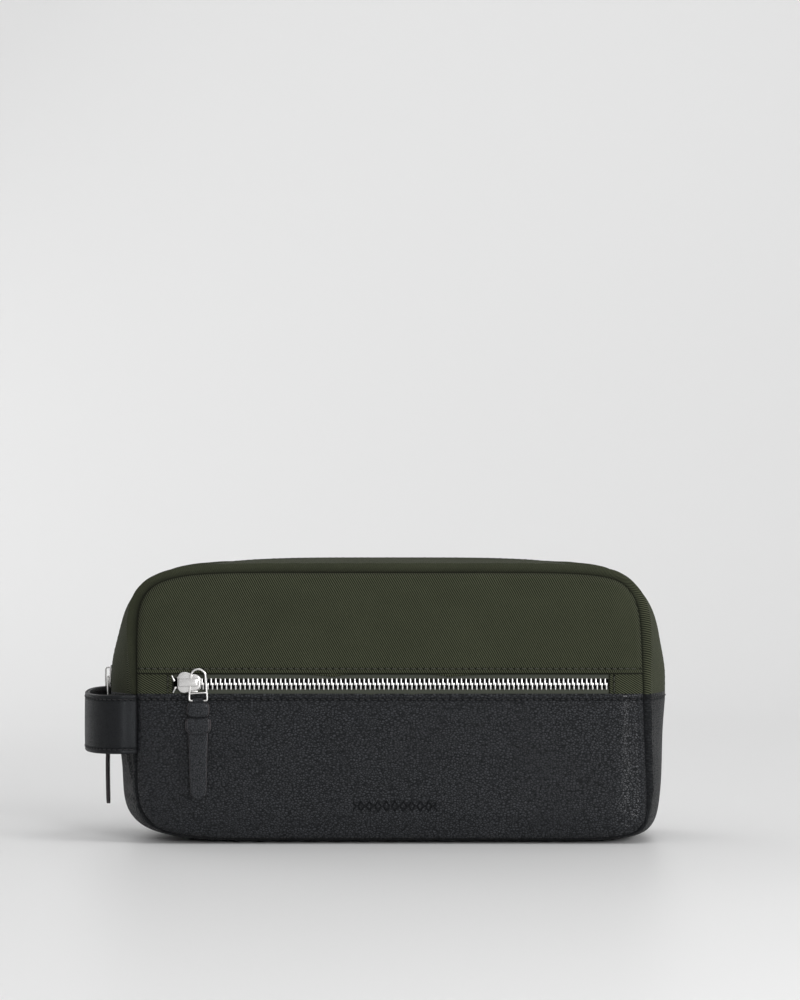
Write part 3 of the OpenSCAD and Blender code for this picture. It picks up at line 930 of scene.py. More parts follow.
@dataclass(frozen=True)
class BagForm:
    """The bag's soft form, as sections in X and Z at each depth y."""

    half_w: float = 130.5
    seam_top: float = 138.9
    seam_low: float = 2.1
    half_d: float = 50.0
    swell_left: float = 15.9
    swell_right: float = 12.4
    swell_top: float = 6.4
    swell_base: float = 3.0
    bow: float = 3.6
    bow_reach: float = 16.0
    seam_square: float = 8.0
    mid_square: float = 4.2
    corner_square: float = 13.0
    low_taper: float = 0.5
    flat_x: float = 146.0
    edge_z: float = 76.4
    base_z: float = 24.0

    @property
    def mid_z(self) -> float:
        """Height of the middle of the panel seam."""
        return (self.seam_top + self.seam_low) / 2

    @property
    def half_h(self) -> float:
        """Half the height of the panel seam."""
        return (self.seam_top - self.seam_low) / 2

    def swell(self, y: np.ndarray) -> np.ndarray:
        """Share of the full swell that the bag has at depth y."""
        return 1 - np.minimum(np.abs(y) / self.half_d, 1) ** 2.5

    def section(self, y: Any, p: np.ndarray, q: np.ndarray, inset: float = 0.0) -> np.ndarray:
        """Points of the section at depth y.

        Args:
            y: Depth.
            p: Across, -1 to 1 on the border of a square.
            q: Up, -1 to 1 on the border of a square.
            inset: Distance inwards from the outer surface.

        Returns:
            Points (x, y, z).
        """
        y, p, q = np.broadcast_arrays(np.asarray(y, float), p, q)
        s = self.swell(y)
        lower = np.where(p > 0, self.corner_square, self.seam_square)
        square = np.where(q < 0, lower, self.seam_square + (self.mid_square - self.seam_square) * s)
        norm = (np.abs(p) ** square + np.abs(q) ** square) ** (1 / square)
        u, v = p / norm, q / norm
        top = self.seam_top + self.swell_top * s - inset
        low = self.seam_low - self.swell_base * s + inset
        swollen = s * (1 + self.low_taper * np.minimum(v, 0))
        reach = self.half_w - inset + swollen * np.where(u < 0, self.swell_left, self.swell_right)
        z = (top + low) / 2 + (top - low) / 2 * v
        left = 3.0 * step_up(z, 84, 110) + 2.2 * (1 - step_up(z, 47, 72)) * step_up(z, 11, 40)
        right = 2.0 * step_up(z, 84, 106) + 0.5 - 1.6 * (1 - step_up(z, 25, 62))
        x = np.maximum(u * reach, -self.flat_x + inset)
        x = x + s * np.where(x < 0, left, -right) * np.minimum(np.abs(x) / 60, 1)
        return np.stack([x, y, np.maximum(z, inset)], axis=-1)

    def level(self, z: float, y: Any) -> np.ndarray:
        """The q of the height z at depth y.

        Args:
            z: The height.
            y: The depth.

        Returns:
            Its q.
        """
        s = self.swell(np.asarray(y, float))
        top, low = self.seam_top + self.swell_top * s, self.seam_low - self.swell_base * s
        return (z - (top + low) / 2) / ((top - low) / 2)

    def under(self, level: np.ndarray, drop: np.ndarray, floor: np.ndarray) -> tuple[np.ndarray, np.ndarray]:
        """P and q from the left end down, under the base and up the right end.

        Args:
            level: The q where the run starts and ends, one for each depth.
            drop: Stations down an end, 0 to 1.
            floor: Stations along the base, 0 to 1.

        Returns:
            P and q, one row for each depth.
        """
        level = level[:, None]
        side = level + (-1 - level) * drop[None, :]
        along = -1 + 2 * floor[None, 1:-1]
        ones = np.ones_like(side)
        p = np.concatenate([-ones, np.repeat(along, len(level), axis=0), ones], axis=1)
        q = np.concatenate([side, -np.ones((len(level), along.shape[1])), side[:, ::-1]], axis=1)
        return p, q

    def panel(self, p: np.ndarray, q: np.ndarray, inset: float = 0.0) -> tuple[np.ndarray, np.ndarray]:
        """X and Z inside the panel's seam, for p and q anywhere in the square.

        Args:
            p: Across, -1 to 1.
            q: Up, -1 to 1.
            inset: Distance inwards from the seam.

        Returns:
            X and z.
        """
        reach = np.maximum(np.abs(p), np.abs(q))
        square = np.where((p > 0) & (q < 0), self.corner_square, self.seam_square)
        norm = (np.abs(p) ** square + np.abs(q) ** square) ** (1 / square)
        scale = np.where(norm > 1e-6, reach / np.maximum(norm, 1e-6), 1.0)
        return p * scale * (self.half_w - inset), self.mid_z + q * scale * (self.half_h - inset)

    def from_seam(self, x: np.ndarray, z: np.ndarray) -> np.ndarray:
        """Distance of a panel's point from the seam.

        Args:
            x: Places along the bag.
            z: Heights.

        Returns:
            The distances.
        """
        low, high = np.zeros_like(x), np.full_like(x, 60.0)
        square = np.where((x > 0) & (z < self.mid_z), self.corner_square, self.seam_square)
        for _ in range(30):
            middle = (low + high) / 2
            out = (np.abs(x) / (self.half_w - middle)) ** square + (
                np.abs(z - self.mid_z) / (self.half_h - middle)) ** square > 1
            high, low = np.where(out, middle, high), np.where(out, low, middle)
        return low

    def bow_y(self, d: np.ndarray) -> np.ndarray:
        """Depth of a panel's surface at distance d from its seam."""
        near = 1 - np.minimum(d, self.bow_reach) / self.bow_reach
        return self.half_d + self.bow * (1 - near ** 2.2)

    def lean(self, points: np.ndarray) -> np.ndarray:
        """Leans the right-hand seam outwards towards the base.

        Args:
            points: Points (..., 3).

        Returns:
            The points, moved near the right-hand seams only.
        """
        x, y, z = points[..., 0], points[..., 1], points[..., 2]
        near = np.clip((x - 111) / 19, 0, 1)
        near = near * near * (3 - 2 * near) * np.minimum(np.abs(y) / self.half_d, 1) ** 2.5
        out = points.copy()
        out[..., 0] = x + (1.4 - 5.2 * z / self.seam_top) * near
        return out


FORM = BagForm()
FRONT_Y = -FORM.half_d - FORM.bow
NO_EDGE = 40.0  # distance from a sewn edge that keeps needle holes off a piece


def soft(x: np.ndarray, z: np.ndarray, seed: float) -> np.ndarray:
    """Gentle hollows of stuffed cloth, from 0 to 1.

    Args:
        x: Places along the bag.
        z: Heights.
        seed: Shifts the hollows about.

    Returns:
        Depth of the hollows.
    """
    total = (np.sin(x / 21 + z / 33 + seed) + np.sin(x / 37 - z / 17 + 2.1 * seed)
             + 0.6 * np.sin(x / 11 + z / 9.5 + 3.3 * seed) + 0.5 * np.sin(-x / 14 + z / 23 + 0.7 * seed))
    return 0.5 + total / 6.2


def edge_marks(along: np.ndarray, across: np.ndarray, edge: np.ndarray) -> np.ndarray:
    """Cloth places from their three parts."""
    return np.stack(np.broadcast_arrays(along, across, edge), axis=-1)


@dataclass
class StitchRow:
    """A row of lockstitches, each a short arch of thread that dips into its needle holes."""

    pitch: float = 3.3
    length: float = 2.75
    radius: float = 0.26
    sink: float = 0.42
    seed: int = 3

    def build(self, path: np.ndarray, outwards: np.ndarray) -> Form:
        """Lays stitches along a path.

        Args:
            path: Points on the surface, shape (n, 3).
            outwards: The surface's outward direction at each point.

        Returns:
            All the stitches.
        """
        run = run_along(path)
        luck = np.random.default_rng(self.seed)
        stitches = []
        for start in np.arange(self.pitch / 2, run[-1] - self.pitch / 2, self.pitch):
            t = np.linspace(-1, 1, 7)
            at = start + t * self.length / 2 * luck.uniform(0.94, 1.03)
            points = np.stack([np.interp(at, run, path[:, k]) for k in range(3)], axis=1)
            out = unit(np.stack([np.interp(at, run, outwards[:, k]) for k in range(3)], axis=1))
            lift = self.radius * 0.75 - (self.sink + self.radius) * t ** 6 + luck.uniform(-0.03, 0.03)
            slope = (t * 0.13 + luck.uniform(-0.05, 0.05))[:, None]
            slant = np.cross(unit(points[-1] - points[0]), out[3]) * slope
            radii = self.radius * (1 - 0.35 * t ** 4)
            stitches.append(tube(points + out * lift[:, None] + slant, radii, sides=8))
        return joined(stitches)


@dataclass
class Panels:
    """Front and back panels: canvas above, leather below, and the canvas at the front zip's ends."""

    thickness: float = 1.0
    zip_z: float = 81.7
    window_half: float = 5.4
    window_left: float = -111.5
    window_right: float = 110.9
    seam_inset: float = 0.25
    groove: float = 2.6
    stitch_in: float = 2.4

    def surface(self, x: np.ndarray, z: np.ndarray, side: Side, leather: bool) -> np.ndarray:
        """Depth of a panel's outer face.

        Args:
            x: Places along the bag.
            z: Heights.
            side: Front or back.
            leather: Whether this part is leather, which puckers beside the seam.

        Returns:
            y at each place.
        """
        d = FORM.from_seam(x, z)
        y = FORM.bow_y(d) - self.groove * np.exp(-np.maximum(d - self.seam_inset, 0) / 0.65)
        roll = 0.5 * np.exp(-((d - 3.2) / 1.5) ** 2)
        hollow = soft(x, z, 1.3 if side is Side.FRONT else 4.1) * (0.5 if leather else 1.1)
        hollow = hollow * step_up(d, 3, 20)
        side_pucker = step_up(x, 60, 120) * np.sin(z / 1.9 + 1.5 * np.sin(z / 7)) * np.sin(z / 5.3 + x / 9)
        hollow = hollow + 0.3 * side_pucker * np.exp(-((d - 5) / 5) ** 2) * (1.0 if leather else 0.4)
        around = np.arctan2((z - FORM.mid_z) / FORM.half_h, x / FORM.half_w)
        pucker = np.sin(around * 88 + 2.5 * np.sin(around * 13)) * np.sin(around * 31 + 1.0)
        pucker = 0.22 * pucker * np.exp(-((d - 4.5) / 3.2) ** 2) * (1.0 if leather else 0.35)
        return side.value * (y + roll - hollow * 0.45 + pucker)

    def sheet(self, p: np.ndarray, z: np.ndarray, side: Side, leather: bool, edge_z: float,
              patch: float | None = None) -> Form:
        """One cut piece of a panel.

        Args:
            p: Stations across, from -1 to 1.
            z: Heights at the panel's middle, from its cut edge to the seam.
            side: Front or back.
            leather: Whether it is leather.
            edge_z: Height of the folded edge, where the stitch row is.
            patch: X of the folded edge of a zip end patch, if it is one.

        Returns:
            The sheet.
        """
        q = (z - FORM.mid_z) / FORM.half_h
        across, up = np.meshgrid(p, q)
        x, height = FORM.panel(across, up, self.seam_inset)
        edge = np.abs(height - edge_z)
        if patch is not None:
            edge = np.abs(x - patch)
        y = self.surface(x, height, side, leather)
        fold = 0.28 * np.exp(-((edge - self.stitch_in) / 0.7) ** 2) + 0.25 * np.exp(-edge / 0.4)
        turned_in = 0.3 * (1 - step_up(edge, self.stitch_in, self.stitch_in + 1.5))
        raised = -0.3 if patch is not None else turned_in
        y = y - side.value * (fold - raised)
        grid = np.stack([x, y, height], axis=-1)
        along = height if patch is not None else x
        marks = edge_marks(along, x if patch is not None else height, edge)
        # Painted shade: the finishes darken the sheet by this value beside the seam.
        crease = np.exp(-np.maximum(FORM.from_seam(x, height) - self.seam_inset, 0) / 0.45)
        return thick_sheet(FORM.lean(grid), self.thickness, marks, facing(grid, -side.value), crease)

    def across(self) -> np.ndarray:
        """Stations across a whole panel."""
        return stations(2.0, 0.004, 0.017) - 1

    def build(self) -> None:
        """Makes the panels and their stitch rows."""
        low, high = self.zip_z - self.window_half, self.zip_z + self.window_half
        edges = {Side.FRONT: (low, high), Side.BACK: (FORM.edge_z, FORM.edge_z + 0.05)}
        for side, (under, over) in edges.items():
            word = side.name.lower()
            up = over + stations(FORM.seam_top - over, 0.3, 2.2)
            down = under - stations(under - FORM.seam_low, 0.3, 2.2)
            form = self.sheet(self.across(), up, side, False, over)
            make_piece(f"{word}_canvas", form, [CANVAS], Body.BAG, [f"{word}_upper_panel"])
            form = self.sheet(self.across(), down, side, True, under)
            finish = MARKED_LEATHER if side is Side.FRONT else LEATHER
            make_piece(f"{word}_leather", form, [finish], Body.BAG, [f"{word}_lower_panel"])
            self.stitch(f"{word}_canvas_stitches", over + self.stitch_in, side, CANVAS_THREAD)
            self.stitch(f"{word}_leather_stitches", under - self.stitch_in, side, LEATHER_THREAD)
        self.patches(low + 0.06, high - 0.06)

    def patches(self, low: float, high: float) -> None:
        """Makes the canvas at the two ends of the front zip, between the heights low and high.

        Args:
            low: Their lower edge.
            high: Their upper edge.
        """
        z = low + stations(high - low, 0.3, 0.9)
        for word, edge, end in (("left", self.window_left, -1.0), ("right", self.window_right, 1.0)):
            start = edge / (FORM.half_w - self.seam_inset)
            p = start + (end - start) * stations(1.0, 0.015, 0.05)
            form = self.sheet(np.sort(p), z, Side.FRONT, False, self.zip_z, patch=edge)
            make_piece(f"front_zip_patch_{word}", form, [CANVAS], Body.BAG, [f"front_zip_end_{word}"])
            x = np.full(8, edge + end * self.stitch_in)
            rise = np.linspace(low + 0.6, high - 0.6, 8)
            path = np.stack([x, self.surface(x, rise, Side.FRONT, False) + 0.15, rise], axis=1)
            out = np.tile([0.0, -1.0, 0.0], (8, 1))
            row = StitchRow(pitch=3.0, length=2.4).build(path, out)
            make_piece(f"front_zip_patch_{word}_stitches", row, [CANVAS_THREAD], Body.BAG)

    def stitch(self, name: str, z: float, side: Side, thread: Thread) -> None:
        """Makes one stitch row along a panel.

        Args:
            name: The row's name.
            z: Its height.
            side: Front or back.
            thread: Its thread.
        """
        x = np.linspace(-128.6, 127.4, 200)
        height = np.full_like(x, z)
        y = self.surface(x, height, side, False) - side.value * 0.05
        path = FORM.lean(np.stack([x, y, height], axis=1))
        out = np.tile([0.0, float(side.value), 0.0], (len(x), 1))
        row = StitchRow(seed=int(z) + 7 * side.value + 20).build(path, out)
        make_piece(name, row, [thread], Body.BAG)


@dataclass
class Gusset:
    """The band between the panels: canvas over the top with the mouth in it, leather ends and base."""

    thickness: float = 1.0
    mouth_half: float = 5.5
    seam_y: float = 49.1
    bead: float = 1.9
    bead_at: float = 2.3
    shoulder: float = 2.4
    stitch_in: float = 2.4

    def swollen(self, y: np.ndarray, p: np.ndarray, q: np.ndarray, leather: bool) -> np.ndarray:
        """Outer surface of the band.

        Args:
            y: Depths.
            p: Across, on the border of a square.
            q: Up, on the border of a square.
            leather: Whether this part is leather.

        Returns:
            Points, shape (rows, columns, 3).
        """
        grid = FORM.section(y, p, q)
        out = grid_normals(grid)
        middle = np.array([0.0, 0.0, FORM.mid_z])
        out = np.where(np.sum(out * (grid - middle), axis=-1, keepdims=True) < 0, -out, out)
        out[..., 1] = 0.0
        out = unit(out)
        m = self.seam_y - np.abs(grid[..., 1])
        height, x = grid[..., 2], grid[..., 0]
        high = step_up(height, 74, 116)
        full = np.where(x < 0, high, 0.45 + 0.55 * high)
        if leather:
            full = np.where(x < 0, 0.0, 0.45) * step_up(height, 10, 30)
        rise = self.shoulder * (1 - np.exp(-m / 1.5)) * np.exp(-m / 11) * full
        rise = rise + self.bead * np.exp(-((m - self.bead_at) / 1.5) ** 2) * full
        rise = rise - 0.45 * np.exp(-((m - 5.4) / 0.8) ** 2) * full - 1.9 * np.exp(-m / 0.4)
        wave = np.sin(grid[..., 0] / 2.1 + 2 * np.sin(grid[..., 2] / 5)) * np.sin(grid[..., 2] / 1.7 + 1)
        rise = rise + (0.24 if leather else 0.08) * wave * np.exp(-((m - 2.5) / 2.0) ** 2)
        fold = height - 46 - 1.5 * (m - 12)
        crease = np.exp(-(fold / 2.2) ** 2) - 0.8 * np.exp(-((fold - 5) / 3.5) ** 2)
        folded = (x < 0) * step_up(m, 1, 6) * (1 - step_up(m, 20, 34))
        rise = rise + (0.9 if leather else 0.0) * crease * folded
        inner = step_up(m, 4, 14) * step_up(np.abs(grid[..., 1]), 7, 16)
        rise = rise - 0.9 * soft(grid[..., 0] * 0.8 + grid[..., 1], height * 1.2, 2.2) * inner
        grid = grid + out * rise[..., None]
        grid[..., 2] = np.maximum(grid[..., 2], 0.02)
        return FORM.lean(grid)

    def band(self, y: np.ndarray, p: np.ndarray, q: np.ndarray, leather: bool, edge: np.ndarray) -> Form:
        """One cut piece of the band.

        Args:
            y: Depths, one row each.
            p: Across, on the border of a square, one column each.
            q: Up, with one row for each depth.
            leather: Whether it is leather.
            edge: Distance from its sewn edge at each point.

        Returns:
            The sheet.
        """
        grid = self.swollen(y[:, None], p, q, leather)
        inner = FORM.lean(FORM.section(y[:, None], p, q, self.thickness + 0.3))
        inward = unit(inner - grid)
        along = run_along(grid)
        # Painted shade: the finishes darken the band by this value beside the seam.
        crease = np.exp(-np.maximum(self.seam_y - np.abs(y), 0) / 0.4)[:, None] + 0 * p
        return thick_sheet(grid, self.thickness, edge_marks(along, y[:, None], edge), inward, crease)

    def over_top(self, y: np.ndarray, z: float) -> tuple[np.ndarray, np.ndarray]:
        """P and q from the right end at height z over the top to the left end at z.

        Args:
            y: Depths.
            z: Height where the run starts and ends.

        Returns:
            P and q, one row for each depth.
        """
        level = FORM.level(z, y)[:, None]
        rise = stations(1.0, 0.008, 0.035)[None, :]
        right = level + (1 - level) * rise
        top = 1 - 2 * stations(1.0, 0.004, 0.0085)[None, :]
        ones = np.ones_like(right)
        p = np.concatenate([ones, np.repeat(top[:, 1:-1], len(y), axis=0), -ones], axis=1)
        q = np.concatenate([right, np.ones((len(y), top.shape[1] - 2)), right[:, ::-1]], axis=1)
        return p, q

    def mouth_strip(self, side: Side) -> None:
        """Makes the canvas strip on one side of the mouth, with its stitch row.

        Args:
            side: Front or back.
        """
        y = side.value * (self.mouth_half + stations(self.seam_y - self.mouth_half, 0.35, 2.0))
        p, q = self.over_top(y, FORM.edge_z + 0.08)
        edge = np.abs(y)[:, None] - self.mouth_half + 0 * p
        word = side.name.lower()
        make_piece(f"mouth_canvas_{word}", self.band(y, p, q, False, edge), [CANVAS], Body.BAG,
                   [f"mouth_strip_{word}"])
        row = side.value * (self.mouth_half + self.stitch_in + np.array([-0.3, 0.0, 0.3]))
        p, q = self.over_top(row, FORM.edge_z + 2)
        surface = self.swollen(row[:, None], p, q, False)
        inner = FORM.section(row[:, None], p, q, 3.0)
        out = unit(surface[1] - inner[1])
        stitches = StitchRow(seed=41 + side.value, radius=0.17, sink=0.4).build(surface[1] - 0.24 * out, out)
        make_piece(f"mouth_stitches_{word}", stitches, [CANVAS_THREAD], Body.BAG)

    def ends(self) -> None:
        """Makes the two leather ends, with the stitch row under each folded edge."""
        y = stations(2 * self.seam_y, 0.35, 2.2) - self.seam_y
        for word, sign in (("left", -1.0), ("right", 1.0)):
            low = FORM.level(FORM.base_z + 0.08, y)[:, None]
            high = FORM.level(FORM.edge_z - 0.05, y)[:, None]
            q = high + (low - high) * stations(1.0, 0.007, 0.04)[None, :]
            edge = np.abs(FORM.edge_z - FORM.section(y[:, None], sign + 0 * q, q)[..., 2])
            form = self.band(y, sign + 0 * q, q, True, edge)
            make_piece(f"end_{word}", form, [END_LEATHER], Body.BAG, [f"end_leather_{word}"])
            line = FORM.level(FORM.edge_z - self.stitch_in, y)[:, None] + np.array([[0.004, 0.0, -0.004]])
            surface = self.swollen(y[:, None], sign + 0 * line, line, True)[:, 1]
            out = np.tile([sign, 0.0, 0.0], (len(y), 1))
            row = StitchRow(seed=50 + int(sign)).build(surface[3:-3], out[3:-3])
            make_piece(f"end_{word}_stitches", row, [LEATHER_THREAD], Body.BAG)

    def base(self) -> None:
        """Makes the leather base, turned up at both ends."""
        y = stations(2 * self.seam_y, 0.35, 2.4) - self.seam_y
        p, q = FORM.under(FORM.level(FORM.base_z - 0.03, y), stations(1.0, 0.02, 0.09),
                          stations(1.0, 0.004, 0.012))
        edge = np.full(p.shape, NO_EDGE)
        make_piece("base", self.band(y, p, q, True, edge), [END_LEATHER], Body.BAG, ["base_leather"])

    def build(self) -> None:
        """Makes the whole band."""
        for side in Side:
            self.mouth_strip(side)
        self.ends()
        self.base()


@dataclass
class Lining:
    """Everything sewn inside: lining, pocket and seam bindings. lining, pocket, seam bindings and the board
    in the base.
    """

    thickness: float = 0.5
    floor_z: float = 3.4
    front_y: float = -44.4
    back_y: float = 46.0
    pocket_front_y: float = -52.0
    pocket_back_y: float = -46.2
    pocket_half: float = 112.0
    pocket_low: float = 20.0
    pocket_top: float = 94.7
    pocket_open: float = 74.8

    def flat(self, name: str, y: float, inset: float) -> None:
        """Makes a lining sheet that hangs behind a panel, slightly wavy.

        Args:
            name: Name of its CAD node.
            y: Its depth.
            inset: Distance inwards from the seam.
        """
        p, q = np.meshgrid(stations(2.0, 0.01, 0.04) - 1, stations(2.0, 0.01, 0.05) - 1)
        x, z = FORM.panel(p, q, inset)
        z = np.maximum(z, self.floor_z + 0.4 * (q + 1))
        wave = (soft(x * 1.6, z * 1.4, y) - 0.5) * 0.25 * step_up(FORM.from_seam(x, z), 5, 14)
        grid = np.stack([x, y + wave, z], axis=-1)
        form = thick_sheet(grid, self.thickness, edge_marks(x, z, NO_EDGE), facing(grid))
        make_piece(name + "_cloth", form, [LINING], Body.BAG, [name])

    def wrapped(self, name: str, y: np.ndarray, p: np.ndarray, q: np.ndarray, inset: float) -> None:
        """Makes a lining sheet that follows the band, at a depth under its surface.

        Args:
            name: Name of its CAD node.
            y: Depths.
            p: Across, on the border of a square.
            q: Up, with one row for each depth.
            inset: Distance under the band's surface.
        """
        grid = FORM.section(y[:, None], p, q, inset)
        grid[..., 2] = np.maximum(grid[..., 2], self.floor_z)
        inner = FORM.section(y[:, None], p, q, inset + 1)
        inner[..., 2] = np.maximum(inner[..., 2], self.floor_z + 1)
        marks = edge_marks(grid[..., 0] + grid[..., 2], y[:, None], NO_EDGE)
        form = thick_sheet(grid, self.thickness, marks, unit(inner - grid))
        make_piece(name + "_cloth", form, [LINING], Body.BAG, [name])

    def pocket(self) -> None:
        """Makes the front pocket: a flat front below the zip and a shallow tray behind it."""
        x, z = np.meshgrid(stations(2 * self.pocket_half, 0.8, 5.0) - self.pocket_half,
                           self.pocket_low + stations(self.pocket_open - self.pocket_low, 0.8, 5.0))
        grid = np.stack([x, np.full_like(x, self.pocket_front_y) + 0.1 * soft(x, z, 0.4), z], axis=-1)
        form = thick_sheet(grid, 0.4, edge_marks(x, z, NO_EDGE), facing(grid))
        make_piece("pocket_front_cloth", form, [LINING], Body.BAG, ["pocket_front"])
        half_h = (self.pocket_top - self.pocket_low) / 2
        middle = (self.pocket_top + self.pocket_low) / 2
        u, v = squared(TAU * np.arange(96) / 96, 0.12)
        front, back, t = self.pocket_front_y + 0.6, self.pocket_back_y, self.thickness
        profile = [(0.0, front), (0.0, back - 1.2), (0.35, back - 0.35), (1.2, back), (30.0, back),
                   (30.0, back - t), (1.4, back - t), (t + 0.25, back - t - 0.4),
                   (t, back - 1.4), (t, front)]
        rings = []
        for inset, y in profile:
            px = u * (self.pocket_half - inset)
            rings.append(np.stack([px, np.full_like(px, y), middle + v * (half_h - inset)], axis=1))
        skin = lofted(np.array(rings), capped=False, ring=True)
        count = len(u)
        skin.faces = [f for f in skin.faces if not (min(f) >= 4 * count and max(f) < 6 * count)]
        skin.faces += [tuple(range(4 * count, 5 * count)), tuple(range(5 * count, 6 * count))[::-1]]
        make_piece("pocket_back_cloth", skin, [LINING], Body.BAG, ["pocket_back"])

    def binding(self, name: str, y_from: float, y_to: float) -> None:
        """Makes the tape folded over one seam's allowance, as a flat ring inside the seam.

        Args:
            name: Name of its CAD node.
            y_from: Its lowest y.
            y_to: Its highest y.
        """
        t = TAU * np.arange(200) / 200
        wide = np.maximum(np.abs(np.cos(t)), np.abs(np.sin(t)))
        p, q = np.cos(t) / wide, np.sin(t) / wide
        rings = []
        for k in range(12):
            a = TAU * k / 12
            x, z = FORM.panel(p, q, 3.1 - 1.45 * math.cos(a) * (1 if abs(math.cos(a)) < 0.9 else 0.95))
            y = (y_from + y_to) / 2 + math.sin(a) * (y_to - y_from) * 0.5
            rings.append(np.stack([x, np.full_like(x, y), np.maximum(z, 1.3 + 0.3 * math.cos(a))], axis=1))
        rings = np.swapaxes(np.array(rings), 0, 1)
        make_piece(name + "_tape", lofted(rings, ring=True), [LINING], Body.BAG, [name])

    def build(self) -> None:
        """Makes the lining, the pocket and the seam bindings."""
        self.flat("lining_front", -45.4, 5.0)
        self.flat("lining_back", 47.6, 5.0)
        gusset = Gusset()
        for side in Side:
            outer = self.front_y if side is Side.FRONT else self.back_y
            y = np.linspace(side.value * (gusset.mouth_half + 1.6), outer, 16)
            p, q = gusset.over_top(y, 75.8)
            self.wrapped(f"lining_mouth_{side.name.lower()}", y, p, q, 1.85)
        y = np.linspace(self.front_y, self.back_y, 30)
        p, q = FORM.under(FORM.level(75.2, y), stations(1.0, 0.03, 0.08), stations(1.0, 0.01, 0.03))
        self.wrapped("lining_base", y, p, q, 2.65)
        self.pocket()
        self.binding("seam_binding_front", -47.8, -46.6)
        self.binding("seam_binding_back", 46.4, 47.4)


# ---------- zips ----------


def tooth_form(width: float = 0.92) -> Form:
    """One zip tooth lying along x, its head at low z and its two legs at high z, facing -Y.

    Args:
        width: Width of the tooth along the zip.

    Returns:
        The tooth.
    """
    half = width / 2
    outline = [(-half * 0.8, -0.62), (half * 0.8, -0.62), (half * 1.16, -0.3), (half * 1.16, 0.2),
               (half * 0.76, 0.62), (half * 0.76, 2.65), (half * 0.5, 2.9), (-half * 0.5, 2.9),
               (-half * 0.76, 2.65), (-half * 0.76, 0.62), (-half * 1.16, 0.2), (-half * 1.16, -0.3)]
    body = bevelled(outline, -1.1, 1.1, 0.17, 2)
    nib = bevelled([(-0.2, -0.5), (0.2, -0.5), (0.26, 0.0), (-0.26, 0.0)], -1.22, -1.0, 0.08, 1)
    return joined([body, nib])


def block(x: tuple[float, float], y: tuple[float, float], z: tuple[float, float],
          bevel: float = 0.3) -> Form:
    """A small block of metal with rounded edges.

    Args:
        x: Its lowest and highest x.
        y: Its lowest and highest y.
        z: Its lowest and highest z.
        bevel: Radius of the rounded edges.

    Returns:
        The block.
    """
    return bevelled([(x[0], z[0]), (x[1], z[0]), (x[1], z[1]), (x[0], z[1])], *y, bevel)


@dataclass
class Zip:
    """A metal zip: tapes, teeth and stops."""

    pitch: float = 2.36
    depth: float = 1.3
    tape_in: float = 2.7
    tape_out: float = 13.0
    tape_t: float = 0.5

    def teeth(self, places: np.ndarray, frames: np.ndarray, leans: np.ndarray) -> Form:
        """Copies the tooth to each place.

        Args:
            places: Middle of the chain at each tooth.
            frames: The tooth's own axes at each place, as rows.
            leans: Turn of each tooth in its own plane, in radians.

        Returns:
            All the teeth.
        """
        one = tooth_form()
        copies = []
        for place, frame, lean in zip(places, frames, leans):
            c, s = math.cos(lean), math.sin(lean)
            turn = np.array([[c, 0, s], [0, 1, 0], [-s, 0, c]])
            copies.append(Form(one.points @ turn @ frame + place, one.faces))
        return joined(copies)


@dataclass
class FrontZip(Zip):
    """The straight zip of the front pocket, open for two teeth at the slider's left."""

    z: float = 81.7
    left: float = -111.5
    right: float = 110.9
    slider_x: float = -103.0

    def build(self) -> None:
        """Makes the tapes, the teeth and the stops."""
        y = FRONT_Y + self.depth
        x = stations(228, 1.0, 3.0) - 114
        for word, sign in (("upper", 1.0), ("lower", -1.0)):
            across = self.z + sign * (self.tape_in + stations(self.tape_out - self.tape_in, 0.25, 1.0))
            gx, gz = np.meshgrid(x, across)
            spread = 0.9 * (1 - step_up(gx, -112, -107)) * (1 - step_up(np.abs(gz - self.z), 2.5, 6)) * sign
            grid = np.stack([gx, np.full_like(gx, y - self.tape_t / 2), gz + spread], axis=-1)
            shade = np.exp(-np.maximum(5.5 - np.abs(gz - self.z), 0) / 0.6)
            form = thick_sheet(grid, self.tape_t, edge_marks(gx, gz, NO_EDGE), facing(grid), shade)
            make_piece(f"front_tape_{word}", form, [TAPE], Body.BAG, [f"front_zip_tape_{word}"])
            self.row(word, sign, y)
        self.stops(y)

    def row(self, word: str, sign: float, y: float) -> None:
        """Makes one side's teeth; those left of the slider stand apart and splayed.

        Args:
            word: Upper or lower.
            sign: 1 for the upper row, -1 for the lower.
            y: Depth of the chain's middle.
        """
        shift = 0.0 if sign > 0 else self.pitch / 2
        x = np.arange(self.left + 0.75 + shift * 0.6, self.right - 1.4, self.pitch)
        open_ = 1 - step_up(x, self.slider_x - 6.6, self.slider_x - 4.2)
        places = np.stack([x, np.full_like(x, y), self.z + sign * open_ * 1.9], axis=1)
        frame = np.array([[1.0, 0, 0], [0, 1.0, 0], [0, 0, sign]])
        form = self.teeth(places, np.tile(frame, (len(x), 1, 1)), open_ * 0.42)
        make_piece(f"front_teeth_{word}", form, [TOOTH_NICKEL], Body.BAG, [f"front_zip_teeth_{word}"])

    def stops(self, y: float) -> None:
        """Makes the folded stops at both ends of the chain.

        Args:
            y: Depth of the chain's middle.
        """
        tops = [block((self.left - 2.6, self.left - 1.3), (y - 0.05, y + 1.25), (middle - 1.0, middle + 1.0))
                for middle in (self.z - 4.75, self.z + 4.75)]
        make_piece("front_stops_top", joined(tops), [TOOTH_NICKEL], Body.BAG, ["front_zip_top_stops"])
        bottom = block((self.right - 0.5, self.right + 0.7), (y - 0.2, y + 1.05),
                       (self.z - 2.6, self.z + 2.6))
        make_piece("front_stop_bottom", bottom, [TOOTH_NICKEL], Body.BAG, ["front_zip_bottom_stop"])


